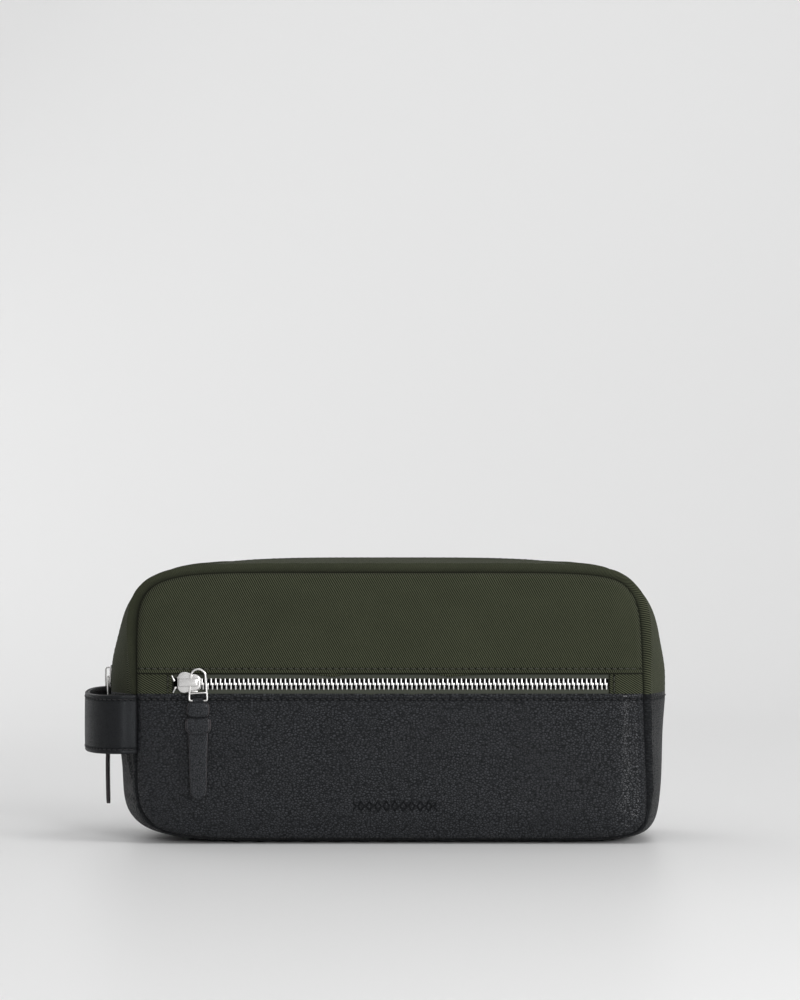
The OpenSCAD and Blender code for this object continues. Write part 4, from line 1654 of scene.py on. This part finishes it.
@dataclass
class MainZip(Zip):
    """The zip that runs up the left end, over the top and down the right end."""

    start_z: float = 77.2
    stop_z: float = 74.5

    def path(self) -> tuple[np.ndarray, np.ndarray]:
        """Points (x, z) along the chain's middle from right to left, and the run to each.

        Returns:
            The points, and the run to each.
        """
        ends = np.linspace(0, 1, 160)
        level = float(FORM.level(self.start_z, 0.0))
        right = level + (1 - level) * ends
        p = np.concatenate([np.ones(160), 1 - 2 * np.linspace(0, 1, 400)[1:-1], -np.ones(160)])
        q = np.concatenate([right, np.ones(398), right[::-1]])
        points = FORM.section(np.zeros_like(p), p, q, self.depth)[:, [0, 2]]
        return points, run_along(points)

    def build(self) -> None:
        """Makes the tapes, the teeth and the stops."""
        points, run = self.path()
        slope = unit(np.gradient(points, axis=0))
        for word, sign in (("front", -1.0), ("back", 1.0)):
            shift = 0.0 if sign > 0 else self.pitch / 2
            s = np.arange(0.55 + shift, run[-1] - 0.9, self.pitch)
            x, z = np.interp(s, run, points[:, 0]), np.interp(s, run, points[:, 1])
            tx, tz = np.interp(s, run, slope[:, 0]), np.interp(s, run, slope[:, 1])
            along = unit(np.stack([tx, np.zeros_like(tx), tz], axis=1))
            inwards = np.stack([-along[:, 2], np.zeros_like(tx), along[:, 0]], axis=1)
            away = np.tile([0.0, sign, 0.0], (len(s), 1))
            frames = np.stack([along, inwards, away], axis=1)
            middle = np.array([0.0, 0.0, 60.0])
            place = np.stack([x, np.zeros_like(x), z], axis=1)
            wrong = np.sum(frames[:, 1] * (place - middle), axis=1) > 0
            frames[wrong, 1] *= -1
            form = self.teeth(place, frames, np.zeros(len(s)))
            make_piece(f"main_teeth_{word}", form, [TOOTH_NICKEL], Body.BAG, [f"main_zip_teeth_{word}"])
            self.tape(word, sign)
        self.stops()

    def tape(self, word: str, sign: float) -> None:
        """Makes one tape, under the mouth's canvas strip.

        Args:
            word: Front or back.
            sign: -1 for the front tape, 1 for the back.
        """
        y = sign * (self.tape_in + stations(self.tape_out - self.tape_in, 0.25, 1.2))
        p, q = Gusset().over_top(y, 70.6)
        grid = FORM.section(y[:, None], p, q, self.depth - self.tape_t / 2)
        inner = FORM.section(y[:, None], p, q, self.depth + 1.5)
        marks = edge_marks(run_along(grid), y[:, None], NO_EDGE)
        form = thick_sheet(grid, self.tape_t, marks, unit(inner - grid))
        make_piece(f"main_tape_{word}", form, [TAPE], Body.BAG, [f"main_zip_tape_{word}"])

    def stops(self) -> None:
        """Makes the stops at both ends, just under the leather's edge."""
        z = (self.stop_z, self.stop_z + 1.7)
        left, right = -FORM.flat_x + 1.4, FORM.half_w + FORM.swell_right - 1.3
        tops = [block((left, left + 1.3), (middle - 1.1, middle + 1.1), z) for middle in (-1.6, 1.6)]
        make_piece("main_stops_top", joined(tops), [TOOTH_NICKEL], Body.BAG, ["main_zip_top_stops"])
        bottom = block((right - 1.2, right), (-2.8, 2.8), z)
        make_piece("main_stop_bottom", bottom, [TOOTH_NICKEL], Body.BAG, ["main_zip_bottom_stop"])


# ---------- sliders, loops and pulls ----------


class Hanging(Enum):
    """Which zip a slider belongs to."""

    FRONT = "front"
    MAIN = "main"


@dataclass
class SliderSet:
    """A slider with its crown, wire loop and knotted leather pull, in the slider's own frame.

    In that frame x runs along the zip towards its closed part and -y points out of the bag.
    """

    zip: Hanging
    length: float = 12.0
    nose: float = 11.2
    rear: float = 8.8
    plate_t: float = 0.9
    running: float = 0.3
    lift: float = 0.9
    wire: float = 1.15
    loop_half: float = 3.75
    loop_l: float = 16.15
    crossbar: float = 12.2
    flare: float = 0.75
    pull_l: float = 50.3
    front_x: float = -103.0
    front_z: float = 81.7
    front_loop_x: float = -98.3
    front_loop_z: float = 89.4
    main_z: float = 83.3
    flange_y: float = 0.72
    nose_bow: float = 1.5

    @property
    def wire_y(self) -> float:
        """Depth of the wire's middle."""
        return -self.running - self.plate_t - 0.25 - self.wire / 2

    def frame(self) -> tuple[np.ndarray, np.ndarray]:
        """The slider's own axes as rows, and its origin.

        Returns:
            The axes and the origin.
        """
        if self.zip is Hanging.FRONT:
            return np.eye(3), np.array([self.front_x, FRONT_Y, self.front_z])
        return np.array([[0.0, 0, 1], [1, 0, 0], [0, 1, 0]]), np.array([-FORM.flat_x, 0, self.main_z])

    def loop_frame(self) -> tuple[np.ndarray, np.ndarray]:
        """The wire loop's axes as rows (it hangs along its own -z), and the top of its wire.

        Returns:
            The axes and the place.
        """
        if self.zip is Hanging.FRONT:
            return np.eye(3), np.array([self.front_loop_x, FRONT_Y + self.wire_y, self.front_loop_z])
        axes = np.array([[0.0, -1, 0], [1, 0, 0], [0, 0, 1]])
        return axes, np.array([-FORM.flat_x + self.wire_y, 0, self.main_z])

    def bodies(self) -> tuple[Body, Body, Body]:
        """Bodies of the slider, its loop and its pull.

        Returns:
            The three bodies.
        """
        if self.zip is Hanging.FRONT:
            return Body.FRONT_SLIDER, Body.FRONT_LOOP, Body.FRONT_TAB
        return Body.MAIN_SLIDER, Body.MAIN_LOOP, Body.MAIN_TAB

    def outline(self, shrink: float = 0.0) -> list[tuple[float, float]]:
        """Plan of a plate (x, z): two round lobes at the nose and a narrower rear.

        Args:
            shrink: Distance inwards from the full outline.

        Returns:
            Corner points in order.
        """
        half = self.length / 2 - shrink
        points = []
        for k in range(40):
            a = TAU * k / 40
            x = math.copysign(abs(math.cos(a)) ** 0.62, math.cos(a)) * half
            widening = 0.5 - 0.5 * math.tanh((x + 0.6) / 1.5)
            wide = self.rear / 2 + (self.nose - self.rear) / 2 * widening - shrink
            points.append((x, math.copysign(abs(math.sin(a)) ** 0.62, math.sin(a)) * wide))
        return points

    def plate(self) -> Form:
        """The domed outer plate with its two flanges.

        Returns:
            The plate.
        """
        lift = self.lift if self.zip is Hanging.FRONT else 0.0
        top = -self.running - self.plate_t
        rings = []
        for shrink, y in ((0.35, -self.running), (0.06, -self.running - 0.12), (0.0, -self.running - 0.35),
                          (0.05, top + 0.25), (0.22, top + 0.08), (0.55, top), (1.6, top - 0.03),
                          (3.2, top - 0.04)):
            rings.append([(x, y, z + lift) for x, z in self.outline(shrink)])
        forms = [lofted(np.array(rings))]
        half, start = self.length / 2, -self.running - 0.1
        flange = [(-half + 1.5, start), (half - 1.5, start), (half - 1.7, self.flange_y),
                  (-half + 1.7, self.flange_y)]
        turn = np.array([[1.0, 0, 0], [0, 0, 1], [0, 1, 0]])
        for low in (-4.25, 3.25):
            wall = bevelled(flange, low, low + 1.0, 0.2)
            forms.append(Form(wall.points @ turn, wall.faces))
        return joined(forms)

    def back_plate(self, low: float, high: float) -> Form:
        """The plate inside the bag, its nose bowed away from the teeth so that it clears their curve.

        Args:
            low: Depth of its face next to the teeth.
            high: Depth of its inner face.

        Returns:
            The plate.
        """
        rings = []
        flat_to = -self.length / 4
        for shrink, y in ((0.4, low), (0.1, low + 0.1), (0.0, low + 0.3), (0.0, high - 0.3),
                          (0.1, high - 0.1), (0.4, high), (1.8, high), (3.4, high)):
            ring = []
            for x, z in self.outline(shrink):
                bent = max(x - flat_to, 0.0) / (self.length / 2 - flat_to)
                ring.append((x, y + self.nose_bow * bent ** 1.5, z))
            rings.append(ring)
        return lofted(np.array(rings))

    def crown(self) -> Form:
        """The bridge over the plate that the wire passes under, as one bent strip of metal.

        Returns:
            The crown.
        """
        lift = self.lift if self.zip is Hanging.FRONT else 0.0
        base, under = -self.running - self.plate_t - 0.01, self.wire_y - self.wire / 2 - 0.28
        line = [(-5.1, base), (-5.15, base - 0.9), (-5.0, under - 0.25), (-4.4, under - 0.5),
                (-3.0, under - 0.55), (-0.5, under - 0.6), (2.2, under - 0.58), (3.9, under - 0.5),
                (4.55, under - 0.2), (4.72, base - 0.9), (4.7, base)]
        wide = [1.9, 1.95, 2.0, 2.0, 1.98, 1.95, 1.9, 1.85, 1.7, 1.6, 1.55]
        path = np.array(line)
        t = np.linspace(0, len(path) - 1, 41)
        path = np.stack([np.interp(t, range(len(line)), path[:, k]) for k in (0, 1)], axis=1)
        width = np.interp(t, range(len(line)), wide)
        path[1:-1] = (path[:-2] + 2 * path[1:-1] + path[2:]) / 4
        slope = unit(np.gradient(path, axis=0))
        normal = np.stack([slope[:, 1], -slope[:, 0]], axis=1)
        angles = TAU * np.arange(20) / 20
        u, v = squared(angles, 0.45)[0], squared(angles, 0.7)[1]
        rings = []
        for k in range(len(path)):
            xy = path[k][None, :] + normal[k][None, :] * (v * 0.42)[:, None]
            rings.append(np.stack([xy[:, 0], xy[:, 1], u * width[k] + lift], axis=1))
        return lofted(np.array(rings))

    def wire_loop(self) -> Form:
        """The bent wire loop with its crossbar, hanging along -z from its top.

        Returns:
            The loop.
        """
        arch = [(self.loop_half * math.sin(a), 0.0, -self.loop_half * (1 - math.cos(a)))
                for a in np.linspace(-math.pi / 2, math.pi / 2, 17)]
        corner = 0.95
        foot = []
        for side in (1, -1):
            angles = np.linspace(0, math.pi / 2, 6) if side > 0 else np.linspace(math.pi / 2, 0, 6)
            foot += [(side * (self.loop_half + self.flare - corner + corner * math.cos(a)), 0.0,
                      -self.loop_l + corner - corner * math.sin(a)) for a in angles]
        heights = np.linspace(-self.loop_half - 1, -self.loop_l + 2, 8)
        legs = [(self.loop_half + self.flare * (-z - 4.5) / 9, 0.0, z) for z in heights]
        back = [(-x, y, z) for x, y, z in legs[::-1]]
        path = np.array(arch + legs + foot + back)
        ring = tube(path, self.wire / 2, 14, ring=True)
        x = np.linspace(-1, 1, 9) * (self.loop_half + 0.85 * self.flare)
        bar = np.stack([x, np.zeros(9), -self.crossbar + 0.06 * x], axis=1)
        return joined([ring, tube(bar, np.full(9, self.wire / 2 - 0.1), 12)])

    def strap(self, z: np.ndarray, half: np.ndarray, front: np.ndarray, back: np.ndarray,
              square: float = 5.0) -> Form:
        """A strip of leather lofted along z.

        Args:
            z: Heights of the sections.
            half: Half the width at each.
            front: y of the front face at each.
            back: y of the back face at each.
            square: Squareness of its edges.

        Returns:
            The strip, with its cut sides toned 1.
        """
        angles = TAU * (np.arange(36) + 0.5) / 36
        u, v = squared(angles, 2 / square)
        middle, deep = (front + back) / 2, np.abs(back - front) / 2
        rings = np.stack([half[:, None] * u, middle[:, None] + deep[:, None] * v,
                          np.broadcast_to(z[:, None], (len(z), 36))], axis=-1)
        form = lofted(rings)
        sides = np.abs(np.cos(angles + math.pi / 36)) > 0.93
        form.tones = [int(sides[i % 36]) for i in range((len(z) - 1) * 36)] + [0, 0]
        return form

    def pull(self) -> Form:
        """The knotted pull: wrapped over the wire, two folded lobes and a long tapered tail.

        Returns:
            The pull, with its cut sides toned 1.
        """
        a = np.linspace(-0.15 * math.pi, 1.15 * math.pi, 21)
        outer = np.stack([np.cos(a) * 1.6, np.sin(a) * 1.6], axis=1)
        outer = np.vstack([[outer[0, 0], -4.5], outer, [outer[-1, 0], -4.5]])
        rings = []
        angles = TAU * np.arange(20) / 20
        u, v = squared(angles, 0.4)
        u, v = u * 2.75, v * 0.46
        slope = unit(np.gradient(outer, axis=0))
        normal = np.stack([-slope[:, 1], slope[:, 0]], axis=1)
        for k in range(len(outer)):
            yz = outer[k][None, :] - normal[k][None, :] * (np.sign(np.dot(normal[k], outer[k] - [0, -1.0]))
                                                           * (0.46 + v))[:, None]
            rings.append(np.stack([u, yz[:, 0], yz[:, 1]], axis=1))
        forms = [lofted(np.array(rings))]
        t = np.linspace(0, 1, 22)
        round_ = np.sqrt(np.clip(1 - (2 * t - 1) ** 6, 0, 1))
        z = -0.7 - t * 7.9
        lobe = np.interp(t, [0, 0.10, 0.32, 0.72, 0.92, 1], [4.3, 5.2, 5.75, 5.6, 4.5, 3.6])
        forms.append(self.strap(z, lobe, -1.35 - 0.95 * round_, 0.9 + 0.35 * round_, 4.0))
        t = np.linspace(0, 1, 26)
        u_end = np.sqrt(np.clip(1 - np.clip((t - 0.45) / 0.55, 0, 1) ** 2.6, 0, 1))
        z = -9.3 - t * 8.3
        head = 6.5 * u_end * (0.95 + 0.05 * np.minimum(t * 6, 1)) + 0.02
        forms.append(self.strap(z, head, -0.95 - 0.75 * np.minimum(1, t * 7 + 0.3) * (0.4 + 0.6 * u_end),
                                np.full_like(z, 1.2), 4.5))
        inner = np.maximum(head - 0.85, 0.02)
        keep = head > 1.0
        forms.append(self.strap((z + 0.35)[keep], inner[keep], (-2.15 + 0.25 * t)[keep],
                                np.full(int(keep.sum()), -1.0), 4.0))
        t = np.linspace(0, 1, 60)
        z = -8.4 - t * (self.pull_l - 8.4)
        taper = np.interp(z, [-self.pull_l, -44, -30, -18, -8], [3.9, 4.1, 4.5, 4.85, 4.8])
        tip = np.sqrt(np.clip(1 - np.clip((-z - self.pull_l + 5.2) / 5.2, 0, 1) ** 2.2, 0, 1))
        bend = 0.35 * np.sin(t * math.pi) * step_up(t, 0.1, 0.5)
        forms.append(self.strap(z, taper * tip + 0.02, -0.95 - bend, 0.95 - bend, 6.0))
        form = joined(forms)
        form.cloth = form.points[:, [2, 0, 1]] + np.array([0.0, 0.0, 40.0])
        return form

    def build(self) -> None:
        """Makes the slider, its loop and its pull."""
        slider, loop, tab = self.bodies()
        word = self.zip.value
        frame, origin = self.frame()
        make_piece(f"{word}_slider_shell", self.plate().moved(frame, origin), [NICKEL], slider,
                   [f"{word}_slider_body"])
        make_piece(f"{word}_crown", self.crown().moved(frame, origin), [NICKEL], slider,
                   [f"{word}_slider_crown"])
        if self.zip is Hanging.MAIN:
            low, high = ((corner.x / MM + FORM.flat_x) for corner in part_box("main_slider_plate"))
            make_piece("main_back_plate", self.back_plate(low, high).moved(frame, origin), [NICKEL], slider,
                       ["main_slider_plate"])
        frame, origin = self.loop_frame()
        make_piece(f"{word}_loop_wire", self.wire_loop().moved(frame, origin), [NICKEL], loop,
                   [f"{word}_wire_loop"])
        bar = origin - np.array([0.0, 0.0, self.loop_l])
        make_piece(f"{word}_leather_pull", self.pull().moved(frame, bar), [PULL_LEATHER, RAW_EDGE], tab,
                   [f"{word}_pull"])


# ---------- carrying loop ----------


@dataclass
class CarryingLoop:
    """The leather band round the left end: an outer layer and a backing, stitched along both edges."""

    low_z: float = 46.0
    width: float = 30.0
    reach: float = 29.0
    seat: float = 2.7
    layer_t: float = 1.3
    stitch_in: float = 2.2

    def plan(self, a: np.ndarray, offset: np.ndarray) -> np.ndarray:
        """Points (x, y) of the band's plan at angles a, moved outwards by offset.

        Args:
            a: Angles, from -pi/2 at the front end to pi/2 at the back end.
            offset: Distance outwards.

        Returns:
            The points.
        """
        e = 2 / 2.6
        tuck = step_up(np.abs(a), 1.33, math.pi / 2)
        outwards, along = squared(a, e)
        x = -FORM.half_w - 0.2 + 1.0 * tuck - (self.reach + offset) * np.abs(outwards)
        y = (FORM.half_d + self.seat - 2.9 * tuck ** 2 + offset) * along
        return np.stack([x, y], axis=-1)

    def layer(self, inner: float, outer: float, grooved: bool) -> Form:
        """One layer of the band.

        Args:
            inner: Offset of its inner face.
            outer: Offset of its outer face.
            grooved: Whether it has the stitch rows' grooves.

        Returns:
            The layer.
        """
        t = np.linspace(-1, 1, 110)
        a = math.pi / 2 * np.sign(t) * np.abs(t) ** 0.8
        half, r = self.width / 2, (outer - inner) * 0.42
        border = np.linspace(half - r - 4.2, half - r, 12)
        face = np.concatenate([-border[::-1], np.linspace(-half + 7, half - 7, 6), border])
        worked = 1.0 if grooved else 0.0
        groove = worked * 0.26 * np.exp(-((np.abs(face) - (half - self.stitch_in)) / 0.55) ** 2)
        belly = worked * 0.18 * (1 - (face / half) ** 2)
        section = [(h, outer - g - 0.15 + b) for h, g, b in zip(face, groove, belly)]
        turn = np.linspace(0, math.pi / 2, 5)
        section += [(half - r + r * math.sin(k), outer - 0.15 - r * (1 - math.cos(k))) for k in turn[1:]]
        section += [(half - r + r * math.cos(k), inner + r * (1 - math.sin(k))) for k in turn]
        section += [(-half + r - r * math.sin(k), inner + r * (1 - math.cos(k))) for k in turn]
        section += [(-half + r - r * math.cos(k), outer - 0.15 - r * (1 - math.sin(k))) for k in turn[:-1]]
        middle = self.low_z + half
        run = run_along(self.plan(a, 0 * a))
        rings, marks = [], []
        for angle, along in zip(a, run):
            ring, mark = [], []
            for h, offset in section:
                sway = 0.5 * math.sin(angle * 1.4 + 0.4) * math.cos(angle)
                x, y = self.plan(np.array(angle), np.array(offset))
                ring.append((float(x), float(y), middle + h + sway))
                mark.append((along, h, half - abs(h)))
            rings.append(ring)
            marks.append(mark)
        return lofted(np.array(rings), np.array(marks))

    def build(self) -> None:
        """Makes both layers and the stitch rows."""
        make_piece("loop_outer", self.layer(-self.layer_t + 0.03, 0.0, True), [STRAP_LEATHER], Body.BAG,
                   ["handle_outer"])
        backing = self.layer(-2 * self.layer_t + 0.05, -self.layer_t, False)
        make_piece("loop_backing", backing, [STRAP_LEATHER], Body.BAG, ["handle_backing"])
        a = math.pi / 2 * np.linspace(-0.985, 0.985, 300)
        sway = 0.5 * np.sin(a * 1.4 + 0.4) * np.cos(a)
        rows = []
        for face in (0.0, -2.55):
            for z in (self.low_z + self.stitch_in, self.low_z + self.width - self.stitch_in):
                line = self.plan(a, np.full_like(a, face - (0.3 if face == 0.0 else -0.05)))
                path = np.column_stack([line, z + sway])
                slope = unit(np.gradient(path, axis=0))
                out = np.stack([-slope[:, 1], slope[:, 0], 0 * a], axis=1)
                if np.sum(out[:, 0]) * (1 if face == 0.0 else -1) > 0:
                    out = -out
                rows.append(StitchRow(pitch=3.0, length=2.4, seed=int(z)).build(path, out))
        make_piece("loop_stitches", joined(rows), [LEATHER_THREAD], Body.BAG)


# ---------- studio ----------


@dataclass
class Studio3D:
    """Pale sweep of paper, soft lights and the camera."""

    eye: tuple[float, float, float] = (0.0043, -2.05, 0.1754)
    lens: float = 141.2

    def sweep(self) -> None:
        """Makes the floor that curves up into the backdrop."""
        run = [(-3.5, 0.0), (1.0, 0.0)]
        turn = np.linspace(0.05, math.pi / 2, 24)
        run += [(1.0 + 1.2 * math.sin(a), 1.2 - 1.2 * math.cos(a)) for a in turn]
        run += [(2.2, 4.0)]
        points = [(x, y, z) for y, z in run for x in np.linspace(-4, 4, 9)]
        mesh = bpy.data.meshes.new("paper_sweep")
        mesh.from_pydata(points, [], grid_faces(len(run), 9))
        mesh.materials.append(STUDIO.material())
        mesh.polygons.foreach_set("use_smooth", [True] * len(mesh.polygons))
        sweep = bpy.data.objects.new("paper_sweep", mesh)
        bpy.context.scene.collection.objects.link(sweep)

    def light(self, name: str, place: Sequence[float], aim: Sequence[float], size: float, watts: float,
              spread: float = 180.0) -> None:
        """Hangs one square softbox.

        Args:
            name: The light's name.
            place: Where it hangs.
            aim: What it points at.
            size: Length of its sides, in metres.
            watts: Its power.
            spread: Angle of its beam, in degrees.
        """
        data = bpy.data.lights.new(name, "AREA")
        data.shape, data.size, data.energy, data.spread = "SQUARE", size, watts, math.radians(spread)
        lamp = bpy.data.objects.new(name, data)
        lamp.location = place
        toward = np.array(aim) - np.array(place)
        lamp.rotation_euler = Vector(toward.tolist()).to_track_quat("-Z", "Y").to_euler()
        bpy.context.scene.collection.objects.link(lamp)

    def build(self) -> None:
        """Sets up the sweep, the lights, the world and the camera."""
        self.sweep()
        aim = (0.0, 0.0, 0.07)
        self.light("softbox_right", (0.72, -2.0, 0.42), aim, 0.32, 18.0)
        self.light("softbox_side", (1.5, -0.9, 0.7), aim, 0.7, 9.0)
        self.light("softbox_top", (0.4, -0.6, 2.2), aim, 1.2, 8.0)
        self.light("softbox_backdrop", (0.0, 0.9, 2.6), (0.0, 2.1, 0.9), 1.8, 2.8, 90)
        self.light("softbox_behind", (-1.1, 1.4, 0.9), aim, 0.9, 5.0)
        bpy.context.scene.view_settings.view_transform = "Standard"
        world = bpy.data.worlds.new("studio_air")
        bpy.context.scene.world = world
        world.use_nodes = True
        world.node_tree.nodes["Background"].inputs[0].default_value = (1.0, 1.0, 1.0, 1.0)
        world.node_tree.nodes["Background"].inputs[1].default_value = 0.585
        data = bpy.data.cameras.new("camera")
        data.lens, data.sensor_width, data.clip_start = self.lens, 36.0, 0.05
        camera = bpy.data.objects.new("camera", data)
        camera.location = self.eye
        camera.rotation_euler = (math.pi / 2, 0.0, 0.0)
        bpy.context.scene.collection.objects.link(camera)
        bpy.context.scene.camera = camera


def dress(node: str, finish: Finish, frame: dict[str, Any]) -> None:
    """Gives a CAD node that stays its finish.

    Args:
        node: The node's name.
        finish: Its finish.
        frame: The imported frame.
    """
    mesh = frame["nodes"][node].data
    mesh.materials.clear()
    mesh.materials.append(finish.material())
    log.info("%s: CAD piece kept", node)


def main() -> None:
    """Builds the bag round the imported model, in order."""
    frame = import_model()
    Studio3D().build()
    Panels().build()
    Gusset().build()
    Lining().build()
    FrontZip().build()
    MainZip().build()
    for place in Hanging:
        SliderSet(place, lift=0.9 if place is Hanging.FRONT else 0.0).build()
    CarryingLoop().build()
    dress("base_board", BOARD, frame)
    dress("front_slider_plate", NICKEL, frame)


if __name__ == "__main__":
    logging.basicConfig(level=logging.INFO, format="%(message)s")
    main()
